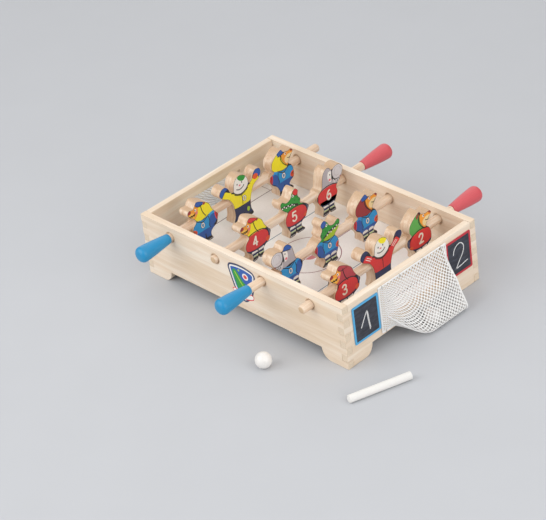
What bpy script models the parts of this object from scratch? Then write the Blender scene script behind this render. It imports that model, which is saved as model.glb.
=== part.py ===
"""Table hockey game: a finger-jointed wooden box with a rink board, four player rods and two goal nets.

Metres, +Z up. X runs from the far goal to the near one, Y from the front side to the back side.
"""

import math

import bmesh
import bpy

# Clearances
GAP = 0.0003
BUSH_GAP = 0.0005
OVERRUN = 0.002

# Rods, their bushes and their handles
ROD_RADIUS = 0.006
ROD_OVERHANG = 0.0335
ROD_TENON_RADIUS = 0.0045
ROD_TIP = 0.0035
ROD_TIP_STEPS = 3
ROD_SIDES = 20
BUSH_WALL = 0.0015
HANDLE_LENGTH = 0.053
HANDLE_WALL = 0.0020
HANDLE_WIDE_RADIUS = 0.0111
HANDLE_NOSE = 0.008
HANDLE_SWELL_SHARE = 0.5
HANDLE_SOCKET = 0.026
HANDLE_TAPER_STEPS = 5
HANDLE_NOSE_STEPS = 5

# Figures: the wood left beside the rod, the reach from the rod's axis, and each kind's width
FIGURE_CHEEK = 0.0017
FOOT_REACH = 0.0325
HEAD_REACH = 0.036
BEAR_WIDTH = 0.052
FOX_WIDTH = 0.0495
CROCODILE_WIDTH = 0.050
ELEPHANT_WIDTH = 0.053
KEEPER_WIDTH = 0.077
FIGURE_CURVE_STEPS = 2

# Room that a turning figure has over the board and at the ends of the box
SWING_OVER_BOARD = 0.0084
SWING_AT_END = 0.0105

# Box and rink board
BOX_LENGTH = 0.370
BOX_WIDTH = 0.245
RIM_OVER_ROD = 0.0156
WALL = 0.0095
FINGERS = 9
FOOT_WIDTH = 0.045
FOOT_RAISE = 0.016
FOOT_ROUND = 0.0135
FOOT_STEPS = 5
BOARD_OVER_EDGE = 0.012
BOARD_THICKNESS = 0.004
GROOVE_DEPTH = 0.003

# Goals
GOAL_WIDTH = 0.098
GOAL_HEIGHT = 0.045

# Balls and chalk
BALL_RADIUS = 0.011
BALL_SEGMENTS = 20
BALL_RINGS = 12
BALL_IN_BAG_WALL = 0.0042
LOOSE_BALL_FROM_END = 0.090
LOOSE_BALL_FROM_SIDE = 0.059
CHALK_LENGTH = 0.086
CHALK_RADIUS = 0.00525
CHALK_SIDES = 16
CHALK_FROM_END = 0.060
CHALK_FROM_SIDE = 0.0073
CHALK_TURN_DEGREES = -19.0

# Goal nets: a sheet with a border cord, flat at the top and let out into a bag below
NET_SIDE_MARGIN = 0.0105
NET_SHUT_MARGIN = 0.0145
NET_TOP_MARGIN = 0.010
NET_FOOT_MARGIN = 0.0045
NET_THREAD = 0.0015
NET_THREAD_SHARE = 0.32
NET_STAND_OFF = 0.0034
NET_BAG_SLACK = 0.0132
NET_BAG_FLOOR = 0.0020
NET_BAG_START = 0.010
NET_BAG_FULL = 0.059
NET_BAG_SHUT = 0.0045
NET_COLUMNS = 11
NET_SIDE_COLUMNS = 2
# The bag's section: depth as a share of the bag's, height as a share from its floor to the net's top
NET_SECTION_SHARES = (
    (0.0, 1.0), (0.10, 0.885), (0.14, 0.76), (0.33, 0.605), (0.56, 0.50), (0.74, 0.31),
    (0.94, 0.15), (1.0, 0.07), (0.93, 0.015), (0.58, 0.0), (0.28, 0.03), (0.06, 0.105), (0.03, 0.21),
)
NET_FLOOR_ROWS = (8, 9, 10, 11)

# Staples that hold a net's border cord on its panel
STAPLE_CROWN = 0.0044
STAPLE_WIRE = 0.0008
STAPLE_COLUMNS_AT_TOP = (0, 3, 7, 10)
STAPLE_COLUMNS_AT_FOOT = (0, 6, 9)

# Chalkboards on the near end panel, one at each side of the net
CHALKBOARD_OVER_EDGE = 0.012
CHALKBOARD_UNDER_RIM = 0.009
CHALKBOARD_THICKNESS = 0.0008
CHALKBOARD_BORDER = 0.003
CHALKBOARD_CORNER = 0.002
BLUE_CHALKBOARD_MARGIN = 0.0153
BLUE_CHALKBOARD_FROM_NET = 0.0017
RED_CHALKBOARD_MARGIN = 0.0120
RED_CHALKBOARD_FROM_NET = 0.0010
CORNER_STEPS = 3

# Each rod: the side of its handle, how far the handle stands out of the wall at rest, its figures
# with the way that they look along Y, and the free room before the first figure and between them
# as shares of all the free room on the rod
ROD_1_PULLED = 0.0034
ROD_2_PULLED = 0.0288
ROD_3_PULLED = 0.0232
ROD_4_PULLED = 0.0165
RODS = (
    ("front", ROD_1_PULLED, (("bear", -1), ("keeper", 1), ("fox", 1))),
    ("back", ROD_2_PULLED, (("bear", -1), ("crocodile", -1), ("elephant", 1))),
    ("front", ROD_3_PULLED, (("elephant", -1), ("crocodile", 1), ("fox", 1))),
    ("back", ROD_4_PULLED, (("bear", -1), ("keeper", 1), ("fox", 1))),
)
ROOM_SHARES = ((0.364, 0.124, 0.27), (0.434, 0.293, 0.21), (0.034, 0.291, 0.30), (0.413, 0.057, 0.142))

# What follows from the sizes above
ROD_COUNT = len(RODS)
FIGURE_BORE = ROD_RADIUS + GAP
FIGURE_THICKNESS = 2 * (FIGURE_BORE + FIGURE_CHEEK)
FIGURE_HEIGHT = FOOT_REACH + HEAD_REACH
FIGURE_WIDTHS = {"bear": BEAR_WIDTH, "fox": FOX_WIDTH, "crocodile": CROCODILE_WIDTH,
                 "elephant": ELEPHANT_WIDTH, "keeper": KEEPER_WIDTH}
SWING_REACH = max(FOOT_REACH, HEAD_REACH)
ROD_FROM_END = WALL + SWING_REACH + SWING_AT_END
ROD_PITCH = (BOX_LENGTH - 2 * ROD_FROM_END) / (ROD_COUNT - 1)
BOARD_UNDER = FOOT_RAISE + BOARD_OVER_EDGE
BOARD_TOP = BOARD_UNDER + BOARD_THICKNESS
ROD_HEIGHT = BOARD_TOP + SWING_OVER_BOARD + SWING_REACH
BOX_HEIGHT = ROD_HEIGHT + RIM_OVER_ROD
ROD_EXPOSED = BOX_WIDTH + ROD_OVERHANG
HANDLE_BORE = ROD_TENON_RADIUS + GAP
HANDLE_NARROW_RADIUS = HANDLE_BORE + HANDLE_WALL
BUSH_BORE = ROD_RADIUS + BUSH_GAP
BUSH_RADIUS = BUSH_BORE + BUSH_WALL
WALL_HOLE = BUSH_RADIUS + GAP
GOAL_START = (BOX_WIDTH - GOAL_WIDTH) / 2
GOAL_TOP = BOARD_TOP + GOAL_HEIGHT
NET_START = GOAL_START - NET_SIDE_MARGIN
NET_WIDTH = NET_SIDE_MARGIN + GOAL_WIDTH + NET_SHUT_MARGIN
NET_TOP = GOAL_TOP + NET_TOP_MARGIN
NET_FOOT = FOOT_RAISE + NET_FOOT_MARGIN
NET_BAG_DEPTH = 2 * BALL_RADIUS + NET_BAG_SLACK

# Outlines as shares of the figure's width, from its middle, and of its height, from its feet.
# Every one is drawn looking towards the low side of Y.
OUTLINE_SHARES = {
    "bear": (
        (-0.12, 0.965), (0.07, 0.90), (0.25, 0.79), (0.32, 0.66), (0.40, 0.56), (0.50, 0.46),
        (0.47, 0.37), (0.42, 0.27), (0.26, 0.205), (0.20, 0.15), (0.20, 0.08), (0.235, 0.0),
        (0.05, 0.0), (0.0, 0.05), (-0.05, 0.0), (-0.235, 0.0), (-0.20, 0.08), (-0.23, 0.17),
        (-0.35, 0.25), (-0.40, 0.36), (-0.36, 0.46), (-0.25, 0.55), (-0.34, 0.65), (-0.45, 0.72),
        (-0.495, 0.81), (-0.42, 0.87), (-0.29, 0.86), (-0.21, 0.94),
    ),
    "fox": (
        (0.08, 0.965), (-0.05, 0.99), (-0.12, 0.92), (-0.26, 0.885), (-0.41, 0.89), (-0.475, 0.82),
        (-0.36, 0.72), (-0.26, 0.62), (-0.36, 0.54), (-0.42, 0.42), (-0.40, 0.26), (-0.28, 0.20),
        (-0.22, 0.14), (-0.33, 0.06), (-0.31, 0.0), (-0.05, 0.0), (0.0, 0.05), (0.05, 0.0),
        (0.20, 0.0), (0.19, 0.11), (0.27, 0.23), (0.41, 0.31), (0.50, 0.42), (0.47, 0.53),
        (0.32, 0.57), (0.38, 0.67), (0.35, 0.80), (0.23, 0.89),
    ),
    "crocodile": (
        (-0.05, 0.93), (0.07, 0.99), (0.19, 0.92), (0.16, 0.81), (0.24, 0.71), (0.22, 0.63),
        (0.34, 0.585), (0.50, 0.47), (0.42, 0.35), (0.35, 0.26), (0.20, 0.20), (0.18, 0.11),
        (0.27, 0.04), (0.24, 0.0), (0.01, 0.0), (-0.04, 0.05), (-0.09, 0.0), (-0.30, 0.0),
        (-0.26, 0.11), (-0.33, 0.22), (-0.385, 0.35), (-0.36, 0.47), (-0.28, 0.56), (-0.36, 0.62),
        (-0.46, 0.70), (-0.495, 0.81), (-0.41, 0.86), (-0.27, 0.80), (-0.13, 0.83),
    ),
    "elephant": (
        (0.09, 0.99), (0.21, 0.90), (0.26, 0.76), (0.30, 0.61), (0.41, 0.55), (0.50, 0.44),
        (0.44, 0.31), (0.35, 0.22), (0.31, 0.14), (0.35, 0.0), (0.15, 0.0), (0.11, 0.05),
        (0.07, 0.0), (-0.12, 0.0), (-0.08, 0.14), (-0.16, 0.24), (-0.24, 0.37), (-0.22, 0.49),
        (-0.31, 0.57), (-0.43, 0.67), (-0.50, 0.82), (-0.41, 0.93), (-0.26, 0.95), (-0.11, 0.91),
        (-0.03, 0.98),
    ),
    "keeper": (
        (0.0, 0.985), (0.11, 0.93), (0.16, 0.82), (0.18, 0.71), (0.24, 0.74), (0.275, 0.83),
        (0.35, 0.91), (0.45, 0.885), (0.50, 0.78), (0.43, 0.67), (0.31, 0.59), (0.235, 0.46),
        (0.21, 0.31), (0.21, 0.15), (0.245, 0.0), (0.04, 0.0), (0.01, 0.06), (-0.02, 0.0),
        (-0.215, 0.0), (-0.18, 0.15), (-0.19, 0.31), (-0.235, 0.46), (-0.31, 0.60), (-0.42, 0.67),
        (-0.50, 0.78), (-0.475, 0.885), (-0.38, 0.91), (-0.31, 0.84), (-0.265, 0.74), (-0.20, 0.71),
        (-0.18, 0.82), (-0.12, 0.93),
    ),
}


def srgb(hex_code):
    """Linear colour of an sRGB hex code."""
    channels = [int(hex_code[i:i + 2], 16) / 255 for i in (0, 2, 4)]
    return [c / 12.92 if c <= 0.04045 else ((c + 0.055) / 1.055) ** 2.4 for c in channels] + [1.0]


def material(name, hex_code, roughness, metallic=0.0):
    made = bpy.data.materials.new(name)
    made.use_nodes = True
    shader = made.node_tree.nodes["Principled BSDF"]
    shader.inputs["Base Color"].default_value = srgb(hex_code)
    shader.inputs["Roughness"].default_value = roughness
    shader.inputs["Metallic"].default_value = metallic
    made.diffuse_color = srgb(hex_code)
    return made


def empty(name, parent, location):
    made = bpy.data.objects.new(name, None)
    bpy.context.collection.objects.link(made)
    made.parent = parent
    made.location = location
    return made


def piece(name, mesh, look, parent, location=(0, 0, 0), turn=0.0):
    """One sub-part: its own object, turned about +Z and placed under its parent."""
    made = bpy.data.objects.new(name, mesh)
    bpy.context.collection.objects.link(made)
    made.parent = parent
    made.location = location
    made.rotation_euler = (0, 0, turn)
    if look and not mesh.materials:
        mesh.materials.append(look)
    return made


def cut(target, mesh, parent, location=(0, 0, 0), turn=0.0):
    """Takes a guide shape out of a piece, and hides the guide."""
    guide = piece("cut_from_" + target.name, mesh, None, parent, location, turn)
    guide.hide_render = True
    guide.display_type = "WIRE"
    boolean = target.modifiers.new("Cut", "BOOLEAN")
    boolean.operation = "DIFFERENCE"
    boolean.solver = "EXACT"
    boolean.object = guide


def mesh_of(name, bm, smooth_over=None):
    bmesh.ops.recalc_face_normals(bm, faces=bm.faces)
    made = bpy.data.meshes.new(name)
    bm.to_mesh(made)
    bm.free()
    if smooth_over is not None:
        made.shade_smooth()
        made.set_sharp_from_angle(angle=smooth_over)
    return made


def box_mesh(name, low, high):
    bm = bmesh.new()
    bmesh.ops.create_cube(bm, size=1)
    for vert in bm.verts:
        vert.co = [a + (b - a) * (c + 0.5) for a, b, c in zip(low, high, vert.co)]
    return mesh_of(name, bm)


def prism_mesh(name, outline, start, depth, across):
    """Extrudes an outline of (u, z) points; across is "X" or "Y", the axis that it is pushed along."""
    bm = bmesh.new()
    if across == "Y":
        corners = [bm.verts.new((u, start, z)) for u, z in outline]
        push = (0, depth, 0)
    else:
        corners = [bm.verts.new((start, u, z)) for u, z in outline]
        push = (depth, 0, 0)
    face = bm.faces.new(corners)
    pushed = bmesh.ops.extrude_face_region(bm, geom=[face])
    moved = [g for g in pushed["geom"] if isinstance(g, bmesh.types.BMVert)]
    bmesh.ops.translate(bm, verts=moved, vec=push)
    return mesh_of(name, bm)


def turned_mesh(name, profile, sides):
    """Turns a closed profile of (radius, along) points about the Y axis."""
    bm = bmesh.new()
    points = [bm.verts.new((radius, along, 0)) for radius, along in profile]
    edges = [bm.edges.new((points[i - 1], points[i])) for i in range(len(points))]
    edges = [e for e in edges if any(v.co.x > 0 for v in e.verts)]
    bmesh.ops.spin(
        bm, geom=points + edges, cent=(0, 0, 0), axis=(0, 1, 0), angle=2 * math.pi, steps=sides, use_merge=True
    )
    bmesh.ops.remove_doubles(bm, verts=bm.verts, dist=GAP / 100)
    bmesh.ops.delete(bm, geom=[e for e in bm.edges if not e.link_faces], context="EDGES")
    return mesh_of(name, bm, math.radians(40))


def rounded_rectangle(u0, z0, u1, z1, radius):
    corners = ((u1 - radius, z0 + radius, -90), (u1 - radius, z1 - radius, 0),
               (u0 + radius, z1 - radius, 90), (u0 + radius, z0 + radius, 180))
    points = []
    for u, z, first in corners:
        for i in range(CORNER_STEPS + 1):
            angle = math.radians(first + 90 * i / CORNER_STEPS)
            points.append((u + radius * math.cos(angle), z + radius * math.sin(angle)))
    return points


def smooth_loop(points, steps):
    """A closed Catmull-Rom curve through the points."""
    curve = []
    count = len(points)
    for i in range(count):
        before, start, end, after = (points[(i + k) % count] for k in (-1, 0, 1, 2))
        for step in range(steps):
            t = step / steps
            curve.append(tuple(
                0.5 * (2 * b + (c - a) * t + (2 * a - 5 * b + 4 * c - d) * t ** 2
                       + (3 * b - a - 3 * c + d) * t ** 3)
                for a, b, c, d in zip(before, start, end, after)
            ))
    return curve


def finger_edge(outer, inner, first_out):
    """The stepped end of a panel, from its foot to its rim: outer and inner u of its fingers."""
    pitch = BOX_HEIGHT / FINGERS
    points = []
    for band in range(FINGERS):
        out = (band % 2 == 0) == first_out
        low = band * pitch
        high = low + pitch
        trim = GAP / 2 if out else -GAP / 2
        u = outer if out else inner
        points.append((u, low if band == 0 else low + trim))
        points.append((u, high if band == FINGERS - 1 else high - trim))
    return points


def panel_outline(length, first_out):
    """A panel with stepped ends, a foot at each end and a raised edge between the feet."""
    inner = WALL + GAP
    left = finger_edge(0, inner, first_out)
    right = [(length - u, z) for u, z in left]
    arch = []
    for i in range(FOOT_STEPS + 1):
        angle = math.pi / 2 * i / FOOT_STEPS
        arch.append((FOOT_WIDTH - FOOT_ROUND + FOOT_ROUND * math.sin(angle), FOOT_RAISE * (1 - math.cos(angle))))
    arch = arch + [(length - u, z) for u, z in reversed(arch)]
    return arch + right + list(reversed(left))


def build_box(root, looks):
    side = prism_mesh("side", panel_outline(BOX_LENGTH, True), 0, WALL, "Y")
    end = prism_mesh("end", panel_outline(BOX_WIDTH, False), 0, WALL, "X")
    half_turn = math.pi
    turned_place = (BOX_LENGTH, BOX_WIDTH, 0)
    placed = (
        ("front_side", side, (0, 0, 0), 0.0), ("back_side", side, turned_place, half_turn),
        ("far_end", end, (0, 0, 0), 0.0), ("near_end", end, turned_place, half_turn),
    )
    groove_run = (WALL - GROOVE_DEPTH, BOARD_UNDER - GAP)
    groove_top = BOARD_TOP + GAP
    side_groove = box_mesh(
        "side_groove", (groove_run[0], groove_run[0], groove_run[1]),
        (BOX_LENGTH - groove_run[0], WALL + OVERRUN, groove_top))
    end_groove = box_mesh(
        "end_groove", (groove_run[0], WALL + GAP, groove_run[1]),
        (WALL + OVERRUN, BOX_WIDTH - WALL - GAP, groove_top))
    hole = turned_mesh("wall_hole", ((0, -OVERRUN), (WALL_HOLE, -OVERRUN), (WALL_HOLE, WALL + OVERRUN),
                                     (0, WALL + OVERRUN)), ROD_SIDES)
    goal = box_mesh("goal", (-OVERRUN, GOAL_START, BOARD_TOP + GAP),
                    (WALL + OVERRUN, GOAL_START + GOAL_WIDTH, GOAL_TOP))
    for name, mesh, place, turn in placed:
        panel = piece(name, mesh, looks["panel"], root, place, turn)
        if mesh == side:
            cut(panel, side_groove, root, place, turn)
            for rod in range(ROD_COUNT):
                wall = 0 if turn == 0 else BOX_WIDTH - WALL
                cut(panel, hole, root, (rod_x(rod), wall, ROD_HEIGHT))
        else:
            cut(panel, end_groove, root, place, turn)
            cut(panel, goal, root, place, turn)
    build_board(root, looks)


def build_board(root, looks):
    """The rink board in its grooves, notched at the corners to clear the finger joints."""
    low = WALL - GROOVE_DEPTH + GAP
    notch = WALL + GAP
    quarter = ((low, notch), (notch, notch), (notch, low))
    outline = list(quarter)
    outline += [(BOX_LENGTH - x, y) for x, y in reversed(quarter)]
    outline += [(BOX_LENGTH - x, BOX_WIDTH - y) for x, y in quarter]
    outline += [(x, BOX_WIDTH - y) for x, y in reversed(quarter)]
    bm = bmesh.new()
    face = bm.faces.new([bm.verts.new((x, y, BOARD_UNDER)) for x, y in outline])
    pushed = bmesh.ops.extrude_face_region(bm, geom=[face])
    moved = [g for g in pushed["geom"] if isinstance(g, bmesh.types.BMVert)]
    bmesh.ops.translate(bm, verts=moved, vec=(0, 0, BOARD_THICKNESS))
    piece("rink_board", mesh_of("rink_board", bm), looks["board"], root)


def rod_x(rod):
    return BOX_LENGTH / 2 + (rod - (ROD_COUNT - 1) / 2) * ROD_PITCH


def rod_profile():
    """From the tenon in the handle over its shoulder to the domed free tip."""
    seat = -(HANDLE_SOCKET - GAP)
    profile = [(0, seat), (ROD_TENON_RADIUS, seat), (ROD_TENON_RADIUS, GAP), (ROD_RADIUS, GAP)]
    for i in range(ROD_TIP_STEPS + 1):
        angle = math.pi / 2 * i / ROD_TIP_STEPS
        profile.append((ROD_RADIUS - ROD_TIP + ROD_TIP * math.cos(angle),
                        ROD_EXPOSED - ROD_TIP + ROD_TIP * math.sin(angle)))
    return profile + [(0, ROD_EXPOSED)]


def handle_profile():
    """From the rod's socket over the narrow end to the round nose."""
    profile = [(0, -HANDLE_SOCKET), (HANDLE_BORE, -HANDLE_SOCKET), (HANDLE_BORE, 0)]
    taper = HANDLE_LENGTH - HANDLE_NOSE
    for i in range(HANDLE_TAPER_STEPS + 1):
        t = i / HANDLE_TAPER_STEPS
        swell = HANDLE_SWELL_SHARE * math.sin(math.pi / 2 * t) + (1 - HANDLE_SWELL_SHARE) * t
        radius = HANDLE_NARROW_RADIUS + (HANDLE_WIDE_RADIUS - HANDLE_NARROW_RADIUS) * swell
        profile.append((radius, -taper * t))
    for i in range(1, HANDLE_NOSE_STEPS):
        angle = math.pi / 2 * i / HANDLE_NOSE_STEPS
        profile.append((HANDLE_WIDE_RADIUS * math.cos(angle), -taper - HANDLE_NOSE * math.sin(angle)))
    return profile + [(0, -HANDLE_LENGTH)]


def figure_mesh(kind, way):
    """A flat cut-out in the rod's own frame, bored for the rod by its guide."""
    width = FIGURE_WIDTHS[kind]
    shares = [(-way * u, z) for u, z in OUTLINE_SHARES[kind]]
    outline = [(u * width, z * FIGURE_HEIGHT - FOOT_REACH) for u, z in smooth_loop(shares, FIGURE_CURVE_STEPS)]
    return prism_mesh(kind, outline, -FIGURE_THICKNESS / 2, FIGURE_THICKNESS, "X")


def figure_places(rod):
    """Middles of a rod's figures along Y, spread over the room between the walls."""
    kinds = [kind for kind, _ in RODS[rod][2]]
    free = BOX_WIDTH - 2 * WALL - sum(FIGURE_WIDTHS[kind] for kind in kinds)
    along = WALL
    places = []
    for kind, room_share in zip(kinds, ROOM_SHARES[rod]):
        along += free * room_share
        places.append(along + FIGURE_WIDTHS[kind] / 2)
        along += FIGURE_WIDTHS[kind]
    return places


def build_rods(root, looks):
    rod_mesh = turned_mesh("rod", rod_profile(), ROD_SIDES)
    bush_profile = ((BUSH_BORE, 0), (BUSH_RADIUS, 0), (BUSH_RADIUS, WALL), (BUSH_BORE, WALL))
    bush_mesh = turned_mesh("bush", bush_profile, ROD_SIDES)
    handle_meshes = {colour: turned_mesh(colour + "_handle", handle_profile(), ROD_SIDES)
                     for colour in ("blue", "red")}
    for rod, (side, pulled, figures) in enumerate(RODS):
        number = rod + 1
        axis = empty(f"rod_{number}_axis", root, (rod_x(rod), 0, ROD_HEIGHT))
        colour = "blue" if side == "front" else "red"
        shoulder = -pulled if side == "front" else BOX_WIDTH + pulled
        turn = 0.0 if side == "front" else math.pi
        piece(f"rod_{number}", rod_mesh, looks["rod"], axis, (0, shoulder, 0), turn)
        piece(f"handle_{number}", handle_meshes[colour], looks[colour + "_handle"], axis, (0, shoulder, 0), turn)
        piece(f"front_bush_{number}", bush_mesh, looks["bush"], axis)
        piece(f"back_bush_{number}", bush_mesh, looks["bush"], axis, (0, BOX_WIDTH - WALL, 0))
        for seat, (kind, way), along in zip(("front", "middle", "back"), figures, figure_places(rod)):
            build_figure(f"rod_{number}_{seat}_{kind}", kind, way, along, axis, looks)


def build_figure(name, kind, way, along, axis, looks):
    reach = FIGURE_WIDTHS[kind] / 2 + OVERRUN
    bore_profile = ((0, -reach), (FIGURE_BORE, -reach), (FIGURE_BORE, reach), (0, reach))
    bore_mesh = turned_mesh("figure_bore", bore_profile, ROD_SIDES)
    figure = piece(name, figure_mesh(kind, way), looks[kind], axis, (0, along, 0))
    cut(figure, bore_mesh, axis, (0, along, 0))


def net_columns():
    """Distances of the net's threads along its width; the bag's shut side has its own close ones."""
    shut = NET_WIDTH - NET_BAG_SHUT
    plain = [shut * i / NET_COLUMNS for i in range(NET_COLUMNS + 1)]
    close = [shut + NET_BAG_SHUT * (i + 1) / NET_SIDE_COLUMNS for i in range(NET_SIDE_COLUMNS)]
    return plain + close


def net_fullness(along):
    """0 where the sheet lies on the panel, 1 where the bag is let right out."""
    opening = min(max((along - NET_BAG_START) / (NET_BAG_FULL - NET_BAG_START), 0), 1)
    shutting = min(max((NET_WIDTH - along) / NET_BAG_SHUT, 0), 1)
    return math.sin(math.pi / 2 * opening) * math.sin(math.pi / 2 * shutting)


def net_point(along, row):
    """Point of the sheet in the panel's frame: out of the panel, along it, up."""
    out_share, up_share = NET_SECTION_SHARES[row]
    rows = len(NET_SECTION_SHARES) - 1
    seat = GAP + NET_THREAD / 2
    margin = min(along, NET_WIDTH - along) / (GOAL_START - NET_START)
    hung = min(row, rows - row, margin, 1)
    flat_out = seat + (NET_STAND_OFF - seat) * max(hung, 0)
    flat_up = NET_TOP + (NET_FOOT - NET_TOP) * row / rows
    if row == rows:
        return flat_out, along, flat_up
    full_out = max(flat_out, NET_BAG_DEPTH * out_share)
    full_up = NET_BAG_FLOOR + (NET_TOP - NET_BAG_FLOOR) * up_share
    fullness = net_fullness(along)
    out = flat_out + (full_out - flat_out) * fullness
    up = flat_up + (full_up - flat_up) * fullness
    return out, along, up


def net_mesh():
    """The sheet's threads: a grid with a gap in each cell, given its thickness by a modifier."""
    bm = bmesh.new()
    columns = net_columns()
    rows = len(NET_SECTION_SHARES)
    grid = [[bm.verts.new(net_point(along, row)) for row in range(rows)] for along in columns]
    for i in range(len(columns) - 1):
        for j in range(rows - 1):
            bm.faces.new((grid[i][j], grid[i + 1][j], grid[i + 1][j + 1], grid[i][j + 1]))
    cells = list(bm.faces)
    for cell in cells:
        short = min(edge.calc_length() for edge in cell.edges)
        bmesh.ops.inset_individual(bm, faces=[cell], thickness=min(NET_THREAD, short * NET_THREAD_SHARE))
    bmesh.ops.delete(bm, geom=cells, context="FACES_ONLY")
    return mesh_of("net", bm)


def staple_mesh():
    """A wire staple that straddles a level cord, its legs ending at the panel's face."""
    wire = STAPLE_WIRE
    over = GAP + NET_THREAD + 2 * GAP
    half = STAPLE_CROWN / 2
    outline = ((-half, GAP), (wire - half, GAP), (wire - half, over), (half - wire, over),
               (half - wire, GAP), (half, GAP), (half, over + wire), (-half, over + wire))
    bm = bmesh.new()
    face = bm.faces.new([bm.verts.new((out, -wire / 2, up)) for up, out in outline])
    pushed = bmesh.ops.extrude_face_region(bm, geom=[face])
    moved = [g for g in pushed["geom"] if isinstance(g, bmesh.types.BMVert)]
    bmesh.ops.translate(bm, verts=moved, vec=(0, wire, 0))
    return mesh_of("staple", bm)


def staple_spots():
    """Distance along and height of each staple: mid cell, over the border cord at the top or the foot."""
    columns = net_columns()
    spots = []
    for cell in STAPLE_COLUMNS_AT_TOP:
        spots.append(((columns[cell] + columns[cell + 1]) / 2, NET_TOP - NET_THREAD / 2))
    for cell in STAPLE_COLUMNS_AT_FOOT:
        along = (columns[cell] + columns[cell + 1]) / 2
        hanging = net_fullness(along) > 0
        spots.append((along, NET_FOOT - NET_THREAD / 2 if hanging else NET_FOOT + NET_THREAD / 2))
    return spots


def build_nets(root, looks):
    sheet = net_mesh()
    staple = staple_mesh()
    ends = (("near", (BOX_LENGTH, NET_START, 0), 0.0), ("far", (0, BOX_WIDTH - NET_START, 0), math.pi))
    for end, place, turn in ends:
        net = piece(f"{end}_goal_net", sheet, looks["net"], root, place, turn)
        thickness = net.modifiers.new("Thread", "SOLIDIFY")
        thickness.thickness = NET_THREAD
        thickness.offset = 0
        way = 1 if turn == 0 else -1
        for i, (along, up) in enumerate(staple_spots()):
            spot = (place[0], place[1] + way * along, up)
            piece(f"{end}_net_staple_{i + 1}", staple, looks["staple"], root, spot, turn)


def build_chalkboards(root, looks):
    foot = FOOT_RAISE + CHALKBOARD_OVER_EDGE
    head = BOX_HEIGHT - CHALKBOARD_UNDER_RIM
    net_end = NET_START + NET_WIDTH
    boards = (
        ("blue", BLUE_CHALKBOARD_MARGIN, NET_START - BLUE_CHALKBOARD_FROM_NET),
        ("red", net_end + RED_CHALKBOARD_FROM_NET, BOX_WIDTH - RED_CHALKBOARD_MARGIN),
    )
    face = BOX_LENGTH + GAP
    rim = CHALKBOARD_BORDER
    for colour, start, end in boards:
        outer = rounded_rectangle(start, foot, end, head, CHALKBOARD_CORNER)
        border = prism_mesh(colour + "_border", outer, face, CHALKBOARD_THICKNESS, "X")
        window = box_mesh("border_window", (face - OVERRUN, start + rim, foot + rim),
                          (face + OVERRUN, end - rim, head - rim))
        cut(piece(colour + "_chalkboard_border", border, looks[colour + "_border"], root), window, root)
        inset = rim + GAP
        slate = box_mesh(colour + "_slate", (face, start + inset, foot + inset),
                         (face + CHALKBOARD_THICKNESS, end - inset, head - inset))
        piece(colour + "_chalkboard", slate, looks["slate"], root)


def ball_mesh(name):
    bm = bmesh.new()
    bmesh.ops.create_uvsphere(bm, u_segments=BALL_SEGMENTS, v_segments=BALL_RINGS, radius=BALL_RADIUS)
    return mesh_of(name, bm, math.radians(60))


def height_on_bag_floor(out):
    """Centre height of a ball that lies in the bag this far out of the panel."""
    rise = NET_TOP - NET_BAG_FLOOR
    floor = [(NET_BAG_DEPTH * NET_SECTION_SHARES[row][0], NET_BAG_FLOOR + rise * NET_SECTION_SHARES[row][1])
             for row in NET_FLOOR_ROWS]
    clear = BALL_RADIUS + NET_THREAD / 2 + GAP
    heights = []
    for (x0, z0), (x1, z1) in zip(floor, floor[1:]):
        slope = (z1 - z0) / (x1 - x0)
        heights.append(z0 + slope * (out - x0) + clear * math.hypot(1, slope))
    return max(heights)


def build_loose_pieces(root, looks):
    ball = ball_mesh("ball")
    out = NET_BAG_DEPTH - BALL_RADIUS - BALL_IN_BAG_WALL
    along = NET_START + NET_BAG_FULL + BALL_RADIUS
    piece("ball_in_net", ball, looks["ball"], root, (BOX_LENGTH + out, along, height_on_bag_floor(out)))
    piece("loose_ball", ball, looks["ball"], root,
          (BOX_LENGTH - LOOSE_BALL_FROM_END, -LOOSE_BALL_FROM_SIDE, BALL_RADIUS))
    half = CHALK_LENGTH / 2
    chalk = turned_mesh("chalk", ((0, -half), (CHALK_RADIUS, -half), (CHALK_RADIUS, half), (0, half)), CHALK_SIDES)
    piece("chalk_stick", chalk, looks["chalk"], root, (BOX_LENGTH + CHALK_FROM_END, -CHALK_FROM_SIDE, CHALK_RADIUS),
          math.radians(CHALK_TURN_DEGREES))


def stand_at_origin(root):
    """Moves the whole set so that the bottom centre of its bounds is the origin."""
    bpy.context.view_layer.update()
    depsgraph = bpy.context.evaluated_depsgraph_get()
    corners = []
    for solid in [o for o in bpy.data.objects if o.type == "MESH" and not o.hide_render]:
        shape = solid.evaluated_get(depsgraph)
        corners += [shape.matrix_world @ vert.co for vert in shape.data.vertices]
    middle = [(min(c[i] for c in corners) + max(c[i] for c in corners)) / 2 for i in (0, 1)]
    root.location = (-middle[0], -middle[1], 0)
    bpy.context.view_layer.update()


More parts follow.
